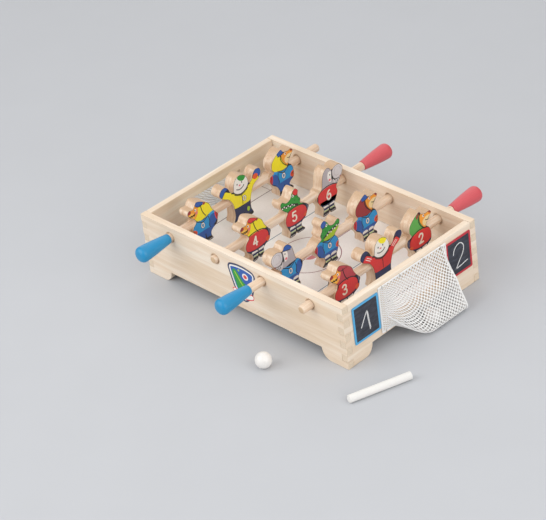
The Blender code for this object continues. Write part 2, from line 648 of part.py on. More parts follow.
def main():
    for old in list(bpy.data.objects):
        bpy.data.objects.remove(old, do_unlink=True)
    looks = {
        "panel": material("birch_panel", "E8D2AE", 0.45),
        "board": material("printed_rink", "F2F0EA", 0.4),
        "rod": material("beech_rod", "E6C9A0", 0.5),
        "bush": material("beech_bush", "D9BC93", 0.5),
        "blue_handle": material("blue_lacquer", "1E93D2", 0.3),
        "red_handle": material("red_lacquer", "D9505F", 0.3),
        "bear": material("painted_bear", "E8962E", 0.4),
        "fox": material("painted_fox", "D97A2B", 0.4),
        "crocodile": material("painted_crocodile", "3FA535", 0.4),
        "elephant": material("painted_elephant", "B9B4B6", 0.4),
        "keeper": material("painted_keeper", "F2E21D", 0.4),
        "net": material("white_cord", "F5F4F2", 0.8),
        "staple": material("steel_wire", "B8BABD", 0.35, 1.0),
        "blue_border": material("blue_border", "5BB4E0", 0.5),
        "red_border": material("red_border", "D8323C", 0.5),
        "slate": material("chalkboard", "2E3140", 0.8),
        "ball": material("white_ball", "F1E9DC", 0.4),
        "chalk": material("white_chalk", "F4F2EE", 0.95),
    }
    root = empty("table_hockey", None, (0, 0, 0))
    build_box(root, looks)
    build_rods(root, looks)
    build_nets(root, looks)
    build_chalkboards(root, looks)
    build_loose_pieces(root, looks)
    stand_at_origin(root)


main()
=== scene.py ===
import math

import bmesh
import bpy
from mathutils import Matrix, Vector


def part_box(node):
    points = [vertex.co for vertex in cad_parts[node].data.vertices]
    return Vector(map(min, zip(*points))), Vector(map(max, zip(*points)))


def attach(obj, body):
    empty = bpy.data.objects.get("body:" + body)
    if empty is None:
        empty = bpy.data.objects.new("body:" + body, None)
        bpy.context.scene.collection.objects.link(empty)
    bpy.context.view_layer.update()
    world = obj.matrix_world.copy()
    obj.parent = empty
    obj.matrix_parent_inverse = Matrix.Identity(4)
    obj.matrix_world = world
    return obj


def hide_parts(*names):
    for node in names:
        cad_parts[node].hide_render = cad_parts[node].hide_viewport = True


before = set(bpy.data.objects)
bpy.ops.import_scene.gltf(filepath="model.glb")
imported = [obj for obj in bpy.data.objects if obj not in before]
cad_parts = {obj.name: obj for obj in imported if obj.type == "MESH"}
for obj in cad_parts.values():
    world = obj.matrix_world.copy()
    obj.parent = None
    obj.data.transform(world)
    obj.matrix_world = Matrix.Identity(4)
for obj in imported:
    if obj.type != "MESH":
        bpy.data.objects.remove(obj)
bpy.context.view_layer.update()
mm = 0.001
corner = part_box("front_side")[0]  # the box's far front corner on the floor, where all sizes start
print("frame loaded with", len(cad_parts), "nodes")


# helpers for places and outlines, in millimetres
def hexColour(code):
    channels = [int(code[i:i + 2], 16) / 255 for i in (0, 2, 4)]
    return [c / 12.92 if c <= 0.04045 else ((c + 0.055) / 1.055) ** 2.4 for c in channels] + [1.0]


def at(x, y, z):
    return corner + Vector((x, y, z)) * mm


def curvePoint(points, i, t, closed=True):
    # one point of a Catmull-Rom curve, t of the way from point i to the next
    last = len(points) - 1
    a, b, c, d = (Vector(points[(i + k) % len(points)] if closed else points[min(max(i + k, 0), last)]) for k in (-1, 0, 1, 2))
    return 0.5 * (2 * b + (c - a) * t + (2 * a - 5 * b + 4 * c - d) * t ** 2 + (3 * b - a - 3 * c + d) * t ** 3)


def smoothLoop(points, steps=4):
    return [curvePoint(points, i, step / steps) for i in range(len(points)) for step in range(steps)]


def smoothPath(points, steps=4):
    path = [curvePoint(points, i, step / steps, False) for i in range(len(points) - 1) for step in range(steps)]
    return path + [Vector(points[-1])]


def ovalLoop(centre, reach, steps=20):
    turns = [2 * math.pi * i / steps for i in range(steps)]
    return [Vector((centre[0] + reach[0] * math.cos(a), centre[1] + reach[1] * math.sin(a))) for a in turns]


def strokeLoop(path, width):
    # the outline of a brush stroke with round ends
    def sideways(i):
        run = path[min(i + 1, len(path) - 1)] - path[max(i - 1, 0)]
        return Vector((-run.y, run.x)).normalized() * width / 2
    left = [path[i] + sideways(i) for i in range(len(path))]
    right = [path[i] - sideways(i) for i in range(len(path))]
    tip = path[-1] + (path[-1] - path[-2]).normalized() * width * 0.45
    tail = path[0] + (path[0] - path[1]).normalized() * width * 0.45
    return [tail] + left + [tip] + right[::-1]


def shrunkLoop(loop, inset):
    area = sum(loop[i - 1].x * loop[i].y - loop[i].x * loop[i - 1].y for i in range(len(loop)))
    way = 1 if area > 0 else -1
    shrunk = []
    for i in range(len(loop)):
        run = (loop[(i + 1) % len(loop)] - loop[i - 1]).normalized()
        shrunk.append(loop[i] + Vector((-run.y, run.x)) * inset * way)
    return shrunk


def isInside(point, loop):
    inside = False
    for i in range(len(loop)):
        a, b = loop[i - 1], loop[i]
        if (a.y > point.y) != (b.y > point.y) and point.x < (b.x - a.x) * (point.y - a.y) / (b.y - a.y) + a.x:
            inside = not inside
    return inside


def heldInside(points, loop):
    # points past the loop come back to its nearest place, and between two of them the path follows the loop
    held = []
    for point in points:
        place = None
        if not isInside(point, loop):
            best = None
            for i in range(len(loop)):
                a, run = loop[i - 1], loop[i] - loop[i - 1]
                t = min(max((point - a).dot(run) / max(run.length_squared, 1e-9), 0), 1)
                spot = a + run * t
                if best is None or (spot - point).length < (best - point).length:
                    best, place = spot, i
            point = best
        held.append((point, place))
    path = []
    for k, (point, place) in enumerate(held):
        path.append(point)
        nextPlace = held[(k + 1) % len(held)][1]
        if place is None or nextPlace is None:
            continue
        ahead = (nextPlace - place) % len(loop)
        back = len(loop) - ahead
        if 0 < ahead <= len(loop) // 4:
            path += [loop[(place + step) % len(loop)] for step in range(ahead)]
        elif back <= len(loop) // 4:
            path += [loop[(place - 1 - step) % len(loop)] for step in range(back)]
    spaced = []
    for point in path:
        if not spaced or (point - spaced[-1]).length > 0.06:
            spaced.append(point)
    if len(spaced) > 2 and (spaced[0] - spaced[-1]).length < 0.06:
        spaced.pop()
    return spaced


# helpers for materials
def addNode(tree, kind, inputs=None, ramp=None, **settings):
    node = tree.nodes.new(kind)
    for name, value in settings.items():
        setattr(node, name, value)
    for key, value in (inputs or {}).items():
        if isinstance(value, bpy.types.NodeSocket):
            tree.links.new(value, node.inputs[key])
        else:
            node.inputs[key].default_value = value
    for i, (position, colour) in enumerate(ramp or []):
        stops = node.color_ramp.elements
        stop = stops[i] if i < 2 else stops.new(position)
        stop.position, stop.color = position, colour
    return node


def startMaterial(name, sockets):
    material = bpy.data.materials.new(name)
    material.use_nodes = True
    shader = material.node_tree.nodes["Principled BSDF"]
    for socket, value in sockets.items():
        shader.inputs[socket].default_value = value
    return material, material.node_tree, shader


def scaled(colour, factor):
    return [c * factor for c in colour[:3]] + [1.0]


def grainScale(axis, along, across):
    # stretches a noise along the grain: features this long and this wide, in mm
    scale = [1 / (across * mm)] * 3
    scale[axis] = 1 / (along * mm)
    return scale


def woodMaterial(name, look):
    material, tree, shader = startMaterial(name, {"Coat Weight": look["coat"], "Coat Roughness": 0.32, "IOR": 1.5})
    coords = addNode(tree, "ShaderNodeTexCoord")
    axis = look["grain"]
    bandPlace = addNode(tree, "ShaderNodeMapping", {"Vector": coords.outputs["Object"],
                        "Scale": grainScale(axis, *look["band"]), "Location": [look["shift"]] * 3})
    bands = addNode(tree, "ShaderNodeTexNoise", {"Vector": bandPlace.outputs[0], "Scale": 1.0, "Detail": 3.0,
                    "Roughness": 0.5, "Distortion": 0.5})
    tone = addNode(tree, "ShaderNodeValToRGB", {"Fac": bands.outputs["Fac"]},
                   [(0.36, hexColour(look["pale"])), (0.5, hexColour(look["middle"])), (0.66, hexColour(look["dark"]))])
    fibrePlace = addNode(tree, "ShaderNodeMapping", {"Vector": coords.outputs["Object"], "Scale": grainScale(axis, *look["fibre"])})
    fibres = addNode(tree, "ShaderNodeTexNoise", {"Vector": fibrePlace.outputs[0], "Scale": 1.0, "Detail": 4.0, "Roughness": 0.6})
    streak = addNode(tree, "ShaderNodeValToRGB", {"Fac": fibres.outputs["Fac"]},
                     [(0.32, (0.72, 0.68, 0.62, 1)), (0.52, (0.97, 0.97, 0.97, 1)), (0.7, (1, 1, 1, 1))])
    grained = addNode(tree, "ShaderNodeMix", {0: look["streak"], 6: tone.outputs[0], 7: streak.outputs[0]},
                      data_type="RGBA", blend_type="MULTIPLY")
    # sawn ends across the grain drink more varnish, so they look darker and speckled
    facing = addNode(tree, "ShaderNodeSeparateXYZ", {0: coords.outputs["Normal"]})
    turned = addNode(tree, "ShaderNodeMath", {0: facing.outputs[axis]}, operation="ABSOLUTE")
    sawn = addNode(tree, "ShaderNodeMapRange", {0: turned.outputs[0], 1: 0.72, 2: 0.9})
    specks = addNode(tree, "ShaderNodeTexNoise", {"Vector": coords.outputs["Object"], "Scale": 1 / (0.6 * mm), "Detail": 2.0})
    endTone = addNode(tree, "ShaderNodeValToRGB", {"Fac": specks.outputs["Fac"]},
                      [(0.35, scaled(hexColour(look["end"]), 0.82)), (0.62, hexColour(look["end"]))])
    whole = addNode(tree, "ShaderNodeMix", {0: sawn.outputs[0], 6: grained.outputs[2], 7: endTone.outputs[0]}, data_type="RGBA")
    gloss = addNode(tree, "ShaderNodeMapRange", {0: fibres.outputs["Fac"], 3: look["roughness"] + 0.08, 4: look["roughness"] - 0.06})
    bump = addNode(tree, "ShaderNodeBump", {"Height": fibres.outputs["Fac"], "Strength": 0.35, "Distance": look["relief"] * mm})
    tree.links.new(whole.outputs[2], shader.inputs["Base Color"])
    tree.links.new(gloss.outputs[0], shader.inputs["Roughness"])
    tree.links.new(bump.outputs[0], shader.inputs["Normal"])
    return material


def paintMaterial(name, code, look):
    # paint over wood: the colour is a little thinner along the grain, which also shows as faint relief
    material, tree, shader = startMaterial(name, {"Coat Weight": look["coat"], "Coat Roughness": 0.15, "IOR": 1.5})
    coords = addNode(tree, "ShaderNodeTexCoord")
    strokes = addNode(tree, "ShaderNodeMapping", {"Vector": coords.outputs["Object"], "Scale": grainScale(look["grain"], *look["fibre"])})
    cover = addNode(tree, "ShaderNodeTexNoise", {"Vector": strokes.outputs[0], "Scale": 1.0, "Detail": 3.0, "Roughness": 0.55})
    tone = addNode(tree, "ShaderNodeValToRGB", {"Fac": cover.outputs["Fac"]},
                   [(0.3, scaled(hexColour(code), look["thin"])), (0.58, hexColour(code))])
    gloss = addNode(tree, "ShaderNodeMapRange", {0: cover.outputs["Fac"], 3: look["roughness"] + 0.06, 4: look["roughness"] - 0.05})
    bump = addNode(tree, "ShaderNodeBump", {"Height": cover.outputs["Fac"], "Strength": 0.25, "Distance": look["relief"] * mm})
    tree.links.new(tone.outputs[0], shader.inputs["Base Color"])
    tree.links.new(gloss.outputs[0], shader.inputs["Roughness"])
    tree.links.new(bump.outputs[0], shader.inputs["Normal"])
    return material


# helpers for pieces
def makePiece(name, bm, materials, body, replaced=(), sharpOver=35):
    mesh = bpy.data.meshes.new(name)
    bm.to_mesh(mesh)
    bm.free()
    for material in materials:
        mesh.materials.append(material)
    mesh.shade_smooth()
    mesh.set_sharp_from_angle(angle=math.radians(sharpOver))
    piece = bpy.data.objects.new(name, mesh)
    bpy.context.collection.objects.link(piece)
    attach(piece, body)
    if replaced:
        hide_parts(*replaced)
    return piece


def pushedFace(bm, corners, push, index=0):
    # a flat outline pushed into a closed plate
    face = bm.faces.new([bm.verts.new(c) for c in corners])
    pushed = bmesh.ops.extrude_face_region(bm, geom=[face])["geom"]
    moved = [g for g in pushed if isinstance(g, bmesh.types.BMVert)]
    bmesh.ops.translate(bm, verts=moved, vec=push)
    for vert in moved:
        for side in vert.link_faces:
            side.material_index = index
    face.material_index = index


def spunAboutY(profile, centre, way, steps):
    # profile is (radius, distance along Y) in mm, from the axis back to the axis or closed on itself
    bm = bmesh.new()
    points = [bm.verts.new(centre + Vector((radius, way * along, 0)) * mm) for radius, along in profile]
    edges = [bm.edges.new(pair) for pair in zip(points, points[1:])]
    if profile[0][0] > 0:
        edges.append(bm.edges.new((points[-1], points[0])))
    bmesh.ops.spin(bm, geom=points + edges, cent=centre, axis=(0, 1, 0), angle=2 * math.pi, steps=steps, use_merge=True)
    bmesh.ops.remove_doubles(bm, verts=bm.verts, dist=0.001 * mm)
    bmesh.ops.recalc_face_normals(bm, faces=bm.faces)
    return bm


# the box: four finger-jointed panels, cut, sanded and clear-varnished
boxLook = {"rimRound": 0.9, "cornerRound": 1.2, "footRound": 0.7, "holeRound": 0.4, "fingerRound": 0.22}
panelLook = {"grain": 0, "pale": "F4E5D2", "middle": "EEDAC3", "dark": "E6CFB3", "end": "E9D5BB", "band": (150, 11), "fibre": (26, 0.6),
             "streak": 0.3, "roughness": 0.42, "relief": 0.05, "coat": 0.12, "shift": 0.0}
sidePanelWood = woodMaterial("clearVarnishedBirchSides", panelLook)  # satin, faint long grain, pale
endPanelWood = woodMaterial("clearVarnishedBirchEnds", {**panelLook, "grain": 1, "shift": 3.7})


def dressPanel(name, wood):
    bm = bmesh.new()
    bm.from_mesh(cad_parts[name].data)
    bmesh.ops.remove_doubles(bm, verts=bm.verts, dist=0.005 * mm)
    bmesh.ops.dissolve_limit(bm, angle_limit=math.radians(1), verts=bm.verts, edges=bm.edges)
    rounding = bm.edges.layers.float.new("bevel_weight_edge")
    low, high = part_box("front_side")[0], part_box("back_side")[1]
    widest = boxLook["cornerRound"]
    for edge in bm.edges:
        if len(edge.link_faces) != 2 or edge.calc_face_angle() < math.radians(50):
            continue
        ends = [v.co for v in edge.verts]
        atX = all(min(abs(c.x - low.x), abs(c.x - high.x)) < 0.1 * mm for c in ends)
        atY = all(min(abs(c.y - low.y), abs(c.y - high.y)) < 0.1 * mm for c in ends)
        upright = abs(ends[0].z - ends[1].z) > 1 * mm
        if atX and atY and upright:
            size = boxLook["cornerRound"]
        elif all(c.z > high.z - 0.1 * mm for c in ends):
            size = boxLook["rimRound"]
        elif all(c.z < low.z + 16.5 * mm for c in ends) and edge.calc_length() > 1 * mm:
            size = boxLook["footRound"]
        elif edge.calc_length() < 4 * mm:
            size = boxLook["holeRound"]
        else:
            size = boxLook["fingerRound"]
        edge[rounding] = size / widest
    piece = makePiece(name + "_panel", bm, [wood], "table", [name], 40)
    bevel = piece.modifiers.new("Rounding", "BEVEL")
    bevel.limit_method, bevel.width, bevel.segments, bevel.profile = "WEIGHT", widest * mm, 3, 0.5
    bevel.use_clamp_overlap, bevel.harden_normals = True, True
    return piece


for name in ("front_side", "back_side"):
    dressPanel(name, sidePanelWood)
for name in ("near_end", "far_end"):
    dressPanel(name, endPanelWood)
print("box panels dressed")

# the rink board: hardboard with a white screen print and thin rink lines under a satin coat
rinkLook = {"white": "F9F6F2", "rose": "CF7A7C", "plum": "8E5660", "dusk": "5F4048", "blue": "56788A", "grey": "B9A9A6",
            "centre": (185.0, 122.5), "circle": 42.0, "spot": 11.5,
            "spotEdge": 1.0, "line": 1.2, "centreLines": (182.7, 187.3), "blueLines": (116.4, 253.6), "goalLines": (27.3, 342.7),
            "creaseLines": (39.0, 205.4), "creaseReach": 74.0}


def rinkMaterial():
    material, tree, shader = startMaterial("satinRinkPrint", {"Coat Weight": 0.15, "Coat Roughness": 0.3})
    coords = addNode(tree, "ShaderNodeTexCoord")
    split = addNode(tree, "ShaderNodeSeparateXYZ", {0: coords.outputs["Object"]})
    x, y = split.outputs[0], split.outputs[1]
    ink = addNode(tree, "ShaderNodeTexNoise", {"Vector": coords.outputs["Object"], "Scale": 1 / (1.2 * mm), "Detail": 2.0})
    colour = addNode(tree, "ShaderNodeValToRGB", {"Fac": ink.outputs["Fac"]},
                     [(0.3, scaled(hexColour(rinkLook["white"]), 0.94)), (0.6, hexColour(rinkLook["white"]))]).outputs[0]
    half = rinkLook["line"] * mm / 2
    marks = [(x, at(px, 0, 0).x, "blue") for px in rinkLook["blueLines"]]
    marks += [(x, at(px, 0, 0).x, "dusk") for px in rinkLook["goalLines"]]
    marks += [(x, at(px, 0, 0).x, "plum") for px in rinkLook["centreLines"]]
    for axis, centre, paint in marks:
        line = addNode(tree, "ShaderNodeMath", {0: axis, 1: centre, 2: half}, operation="COMPARE")
        colour = addNode(tree, "ShaderNodeMix", {0: line.outputs[0], 6: colour, 7: hexColour(rinkLook[paint])}, data_type="RGBA").outputs[2]
    middle = at(*rinkLook["centre"], 0)
    fromMiddle = addNode(tree, "ShaderNodeMath", {0: x, 1: middle.x}, operation="SUBTRACT")
    away = addNode(tree, "ShaderNodeMath", {0: fromMiddle.outputs[0]}, operation="ABSOLUTE")
    endZone = addNode(tree, "ShaderNodeMath", {0: away.outputs[0], 1: (185 - rinkLook["creaseReach"]) * mm}, operation="GREATER_THAN")
    for py in rinkLook["creaseLines"]:
        line = addNode(tree, "ShaderNodeMath", {0: y, 1: at(0, py, 0).y, 2: half}, operation="COMPARE")
        crease = addNode(tree, "ShaderNodeMath", {0: line.outputs[0], 1: endZone.outputs[0]}, operation="MULTIPLY")
        colour = addNode(tree, "ShaderNodeMix", {0: crease.outputs[0], 6: colour, 7: hexColour(rinkLook["grey"])}, data_type="RGBA").outputs[2]
    flat = addNode(tree, "ShaderNodeCombineXYZ", {0: x, 1: y})
    reach = addNode(tree, "ShaderNodeVectorMath", {0: flat.outputs[0], 1: (middle.x, middle.y, 0)}, operation="DISTANCE").outputs["Value"]
    for test, radius, paint in (("COMPARE", rinkLook["circle"], "plum"), ("LESS_THAN", rinkLook["spot"], "rose")):
        inputs = {0: reach, 1: radius * mm}
        if test == "COMPARE":
            inputs[2] = half
        ring = addNode(tree, "ShaderNodeMath", inputs, operation=test)
        colour = addNode(tree, "ShaderNodeMix", {0: ring.outputs[0], 6: colour, 7: hexColour(rinkLook[paint])}, data_type="RGBA").outputs[2]
    inSpot = addNode(tree, "ShaderNodeMath", {0: reach, 1: (rinkLook["spot"] - rinkLook["spotEdge"]) * mm}, operation="LESS_THAN")
    for px in rinkLook["centreLines"]:  # the centre lines cross the spot in white
        line = addNode(tree, "ShaderNodeMath", {0: x, 1: at(px, 0, 0).x, 2: half}, operation="COMPARE")
        crossing = addNode(tree, "ShaderNodeMath", {0: line.outputs[0], 1: inSpot.outputs[0]}, operation="MULTIPLY")
        colour = addNode(tree, "ShaderNodeMix", {0: crossing.outputs[0], 6: colour, 7: hexColour(rinkLook["white"])}, data_type="RGBA").outputs[2]
    gloss = addNode(tree, "ShaderNodeMapRange", {0: ink.outputs["Fac"], 3: 0.5, 4: 0.36})
    bump = addNode(tree, "ShaderNodeBump", {"Height": ink.outputs["Fac"], "Strength": 0.2, "Distance": 0.02 * mm})
    tree.links.new(colour, shader.inputs["Base Color"])
    tree.links.new(gloss.outputs[0], shader.inputs["Roughness"])
    tree.links.new(bump.outputs[0], shader.inputs["Normal"])
    return material


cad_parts["rink_board"].material_slots[0].material = rinkMaterial()
print("rink printed")

# rods, bushes and handles, turned on a lathe
rodLook = {"radius": 6.0, "tip": 3.5, "tenon": 4.5, "tenonLong": 26.0, "sides": 40, "boreGap": 0.8, "bushWall": 1.2, "bushEdge": 0.3}
rodWoodLook = {"grain": 1, "pale": "F2DFCB", "middle": "EAD1B8", "dark": "DFC0A2", "end": "D6B692", "band": (90, 5), "fibre": (14, 0.45),
               "streak": 0.6, "roughness": 0.5, "relief": 0.06, "coat": 0.0, "shift": 8.1}
rodWood = woodMaterial("sandedBeechRod", rodWoodLook)  # bare, close-grained, a little rosy
bushWood = woodMaterial("sandedBeechBush", {**rodWoodLook, "middle": "E8D2B8", "dark": "DEC3A3", "shift": 5.3})
handleLook = {"length": 53.0, "narrow": 6.8, "wide": 11.1, "nose": 8.0, "swell": 0.5, "socket": 26.0, "edge": 1.0, "sides": 48,
              "blunt": 0.8, "front": "148CC0", "back": "D2545B"}
lacquerLook = {"grain": 1, "fibre": (12, 0.8), "thin": 0.93, "roughness": 0.42, "relief": 0.03, "coat": 0.2}
handlePaint = {"front": paintMaterial("blueLacquerOnBeech", handleLook["front"], lacquerLook),  # glossy, faint grain below
               "back": paintMaterial("redLacquerOnBeech", handleLook["back"], lacquerLook)}
handleSides = ("front", "back", "front", "back")


def quarter(start, end, steps):
    # an elliptic quarter from start to end, leaving start along the profile
    turns = [math.pi / 2 * i / steps for i in range(steps + 1)]
    return [(end[0] + (start[0] - end[0]) * math.cos(t), start[1] + (end[1] - start[1]) * math.sin(t)) for t in turns]


def buildRod(number, side):
    body = f"rod_{number}_with_figures"
    low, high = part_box(f"rod_{number}")
    centre = (low + high) / 2
    way = 1 if side == "front" else -1
    start = Vector((centre.x, low.y if way > 0 else high.y, centre.z))
    length = (high.y - low.y) / mm
    r, tip, tenon, shoulderAt = (rodLook[k] for k in ("radius", "tip", "tenon", "tenonLong"))
    profile = [(0, 0), (tenon, 0), (tenon, shoulderAt), (r - 0.3, shoulderAt), (r, shoulderAt + 0.3)]
    profile += quarter((r, length - tip), (r - tip, length), 6) + [(0, length)]
    makePiece(f"turned_rod_{number}", spunAboutY(profile, start, way, rodLook["sides"]), [rodWood], body, [f"rod_{number}"])
    # the handle sits on the rod's tenon and swells to a blunt round nose
    low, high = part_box(f"handle_{number}")
    shoulder = Vector((centre.x, high.y if way > 0 else low.y, centre.z))
    h = handleLook
    taper = h["length"] - h["nose"]
    bore = tenon + 0.3
    profile = [(0, h["socket"]), (bore, h["socket"]), (bore, 0.3), (bore + 0.3, 0)]
    profile += quarter((h["narrow"], h["edge"]), (h["narrow"] - h["edge"], 0), 4)[::-1]
    for i in range(1, 13):
        t = i / 12
        swell = h["swell"] * math.sin(math.pi / 2 * t) + (1 - h["swell"]) * t
        profile.append((h["narrow"] + (h["wide"] - h["narrow"]) * swell, h["edge"] + (taper - h["edge"]) * t))
    turns = [math.pi / 2 * i / 12 for i in range(1, 12)]
    profile += [(h["wide"] * math.cos(a) ** h["blunt"], taper + h["nose"] * math.sin(a) ** h["blunt"]) for a in turns]
    profile.append((0, h["length"]))
    makePiece(f"lacquered_handle_{number}", spunAboutY(profile, shoulder, -way, h["sides"]), [handlePaint[side]], body,
              [f"handle_{number}"], 50)
    for end in ("front", "back"):
        low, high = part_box(f"{end}_bush_{number}")
        wall = (high.y - low.y) / mm
        inner, e = r + rodLook["boreGap"], rodLook["bushEdge"]
        outer = inner + rodLook["bushWall"]
        profile = [(inner, e), (inner + e, 0), (outer - e, 0), (outer, e), (outer, wall - e), (outer - e, wall), (inner + e, wall), (inner, wall - e)]
        bm = spunAboutY(profile, Vector((centre.x, low.y, centre.z)), 1, rodLook["sides"])
        makePiece(f"{end}_bush_ring_{number}", bm, [bushWood], f"rod_{number}_bushes", [f"{end}_bush_{number}"])


for i, side in enumerate(handleSides):
    buildRod(i + 1, side)
print("rods, bushes and handles turned")

# the players: flat cut-outs of wood, printed on both faces
figureLook = {"height": 68.5, "foot": 32.5, "edge": 0.5, "inkInset": 0.55, "paintInset": 1.0, "levels": (0.05, 0.10, 0.16, 0.22, 0.27),
              "step": 0.0015, "numberTall": 13.5, "numberWide": 8.0, "numberStroke": 2.4, "inkWeight": 1.5}
figureWoodLook = {"grain": 2, "pale": "EAD5BE", "middle": "E1C5A9", "dark": "D5B291", "end": "D0AE8C", "band": (60, 4), "fibre": (12, 0.5),
                  "streak": 0.6, "roughness": 0.5, "relief": 0.06, "coat": 0.05, "shift": 1.9}
figureWood = woodMaterial("sandedFigureWood", figureWoodLook)  # sawn edges left bare
printLook = {"grain": 2, "fibre": (9, 0.6), "thin": 0.9, "roughness": 0.42, "relief": 0.03, "coat": 0.1}
paintCodes = {"black": "1B1B20", "white": "F3F0EA", "blue": "229CE0", "darkBlue": "275DB0", "navy": "25305A", "red": "E0373A", "maroon": "9C333A",
              "yellow": "F8EA24", "orange": "F4A23A", "amber": "F6C052", "cream": "F4DCA6", "pink": "E8808A", "green": "2C9A3A", "darkGreen": "1E7030",
              "lime": "A9CE2C", "grey": "B7B1B6", "paleGrey": "D6D2D4", "scarlet": "E4572E", "ivory": "FAF1E2", "crimson": "B5404B", "leaf": "5CAC54"}
paintNames = list(paintCodes)
paints = [paintMaterial("screenPrint" + name[0].upper() + name[1:], code, printLook) for name, code in paintCodes.items()]

# Outlines and prints are drawn facing the low side of Y. Across is a percentage of the figure's width from its
# middle, up is a percentage of its height from its feet.
outlines = {
    "bear": [(-12, 96.5), (7, 90), (25, 79), (32, 66), (40, 56), (50, 46), (47, 37), (42, 27), (26, 20.5), (20, 15), (20, 8), (23.5, 0),
             (5, 0), (0, 5), (-5, 0), (-23.5, 0), (-20, 8), (-23, 17), (-35, 25), (-40, 36), (-36, 46), (-25, 55), (-34, 65), (-45, 72),
             (-49.5, 81), (-42, 87), (-29, 86), (-21, 94)],
    "fox": [(8, 96.5), (-5, 99), (-12, 92), (-26, 88.5), (-41, 89), (-47.5, 82), (-36, 72), (-26, 62), (-36, 54), (-42, 42), (-40, 26),
            (-28, 20), (-22, 14), (-33, 6), (-31, 0), (-5, 0), (0, 5), (5, 0), (20, 0), (19, 11), (27, 23), (41, 31), (50, 42), (47, 53),
            (32, 57), (38, 67), (35, 80), (23, 89)],
    "crocodile": [(-5, 93), (7, 99), (19, 92), (16, 81), (24, 71), (22, 63), (34, 58.5), (50, 47), (42, 35), (35, 26), (20, 20), (18, 11),
                  (27, 4), (24, 0), (1, 0), (-4, 5), (-9, 0), (-30, 0), (-26, 11), (-33, 22), (-38.5, 35), (-36, 47), (-28, 56), (-36, 62),
                  (-46, 70), (-49.5, 81), (-41, 86), (-27, 80), (-13, 83)],
    "elephant": [(9, 99), (21, 90), (26, 76), (30, 61), (41, 55), (50, 44), (44, 31), (35, 22), (31, 14), (35, 0), (15, 0), (11, 5), (7, 0),
                 (-12, 0), (-8, 14), (-16, 24), (-24, 37), (-22, 49), (-31, 57), (-43, 67), (-50, 82), (-41, 93), (-26, 95), (-11, 91), (-3, 98)],
    "keeper": [(0, 98.5), (11, 93), (16, 82), (18, 71), (24, 74), (27.5, 83), (35, 91), (45, 88.5), (50, 78), (43, 67), (31, 59), (23.5, 46),
               (21, 31), (21, 15), (24.5, 0), (4, 0), (1, 6), (-2, 0), (-21.5, 0), (-18, 15), (-19, 31), (-23.5, 46), (-31, 60), (-42, 67),
               (-50, 78), (-47.5, 88.5), (-38, 91), (-31, 84), (-26.5, 74), (-20, 71), (-18, 82), (-12, 93)],
}
widths = {"bear": 52.0, "fox": 49.5, "crocodile": 50.0, "elephant": 53.0, "keeper": 77.0}

# One mark is (level, paint, kind, data...): an area of points, a dot of centre and reach in mm, or a line of width in mm and points.
numberPaths = {
    "2": [[(5, 76), (22, 94), (50, 100), (82, 92), (90, 72), (76, 50), (40, 22), (8, 3)], [(4, 2), (50, 2), (96, 2)]],
    "3": [[(8, 84), (30, 98), (62, 99), (86, 84), (84, 66), (62, 54), (40, 52)], [(40, 52), (70, 49), (92, 34), (88, 12), (60, 0), (28, 2), (5, 18)]],
    "4": [[(70, 0), (70, 50), (70, 100)], [(70, 100), (38, 66), (4, 30)], [(2, 29), (50, 29), (98, 29)]],
    "5": [[(90, 98), (56, 98), (20, 98)], [(20, 98), (16, 76), (12, 55)], [(12, 55), (40, 62), (72, 58), (92, 38), (86, 12), (56, 0), (24, 3), (5, 18)]],
    "6": [[(80, 98), (46, 88), (18, 60), (8, 32), (24, 6), (54, 0), (84, 12), (92, 34), (78, 54), (50, 58), (20, 46)]],
}
blueKit = [
    (1, "blue", "area", [(-46, 44), (-36, 51.5), (-20, 54.5), (-2, 51), (14, 55), (34, 59), (48, 52), (42, 38), (28, 28), (0, 26), (-26, 27), (-46, 33)]),
    (2, "darkBlue", "area", [(18, 40), (24, 51), (36, 52), (44, 42), (38, 32), (26, 28), (17, 31)]),
    (3, "black", "line", 0.7, [(17, 52), (19, 42), (16, 32), (20, 27)]),
    (2, "black", "line", 0.8, [(-24, 55), (-14, 51), (-3, 47), (8, 51), (18, 56)]),
    (1, "darkBlue", "area", [(-32, 27), (-14, 28), (10, 28), (32, 27), (26, 19), (14, 17.5), (2, 19), (-2, 19), (-14, 17), (-26, 19)]),
    (2, "scarlet", "area", [(-46, 36), (-38, 40), (-29, 37), (-26, 31), (-34, 26), (-48, 28)]),
    (3, "black", "line", 0.6, [(-44, 35), (-36, 35), (-31, 32)]),
    (2, "red", "area", [(39, 55), (54, 52), (54, 38), (44, 35), (39, 43)]),
    (3, "black", "line", 0.6, [(44, 52), (43, 45), (45, 38)]),
]
redKit = [
    (1, "red", "area", [(-46, 44), (-32, 54), (-10, 58.5), (14, 58), (32, 53), (40, 43), (37, 32), (21, 25.5), (-4, 23.5), (-28, 26), (-46, 33)]),
    (2, "black", "line", 0.9, [(-36, 54), (-16, 59.5), (6, 60.5), (26, 57), (38, 50)]),
    (2, "navy", "line", 1.5, [(-40, 29), (-22, 23.5), (-2, 21.5), (20, 23), (38, 30)]),
    (1, "navy", "area", [(40, 54), (54, 51), (54, 38), (43, 35), (41, 44)]),
    (3, "grey", "line", 0.5, [(44, 51), (44, 45), (45, 39)]),
    (2, "scarlet", "area", [(30, 33), (38, 36), (46, 33), (44, 26), (34, 25)]),
]


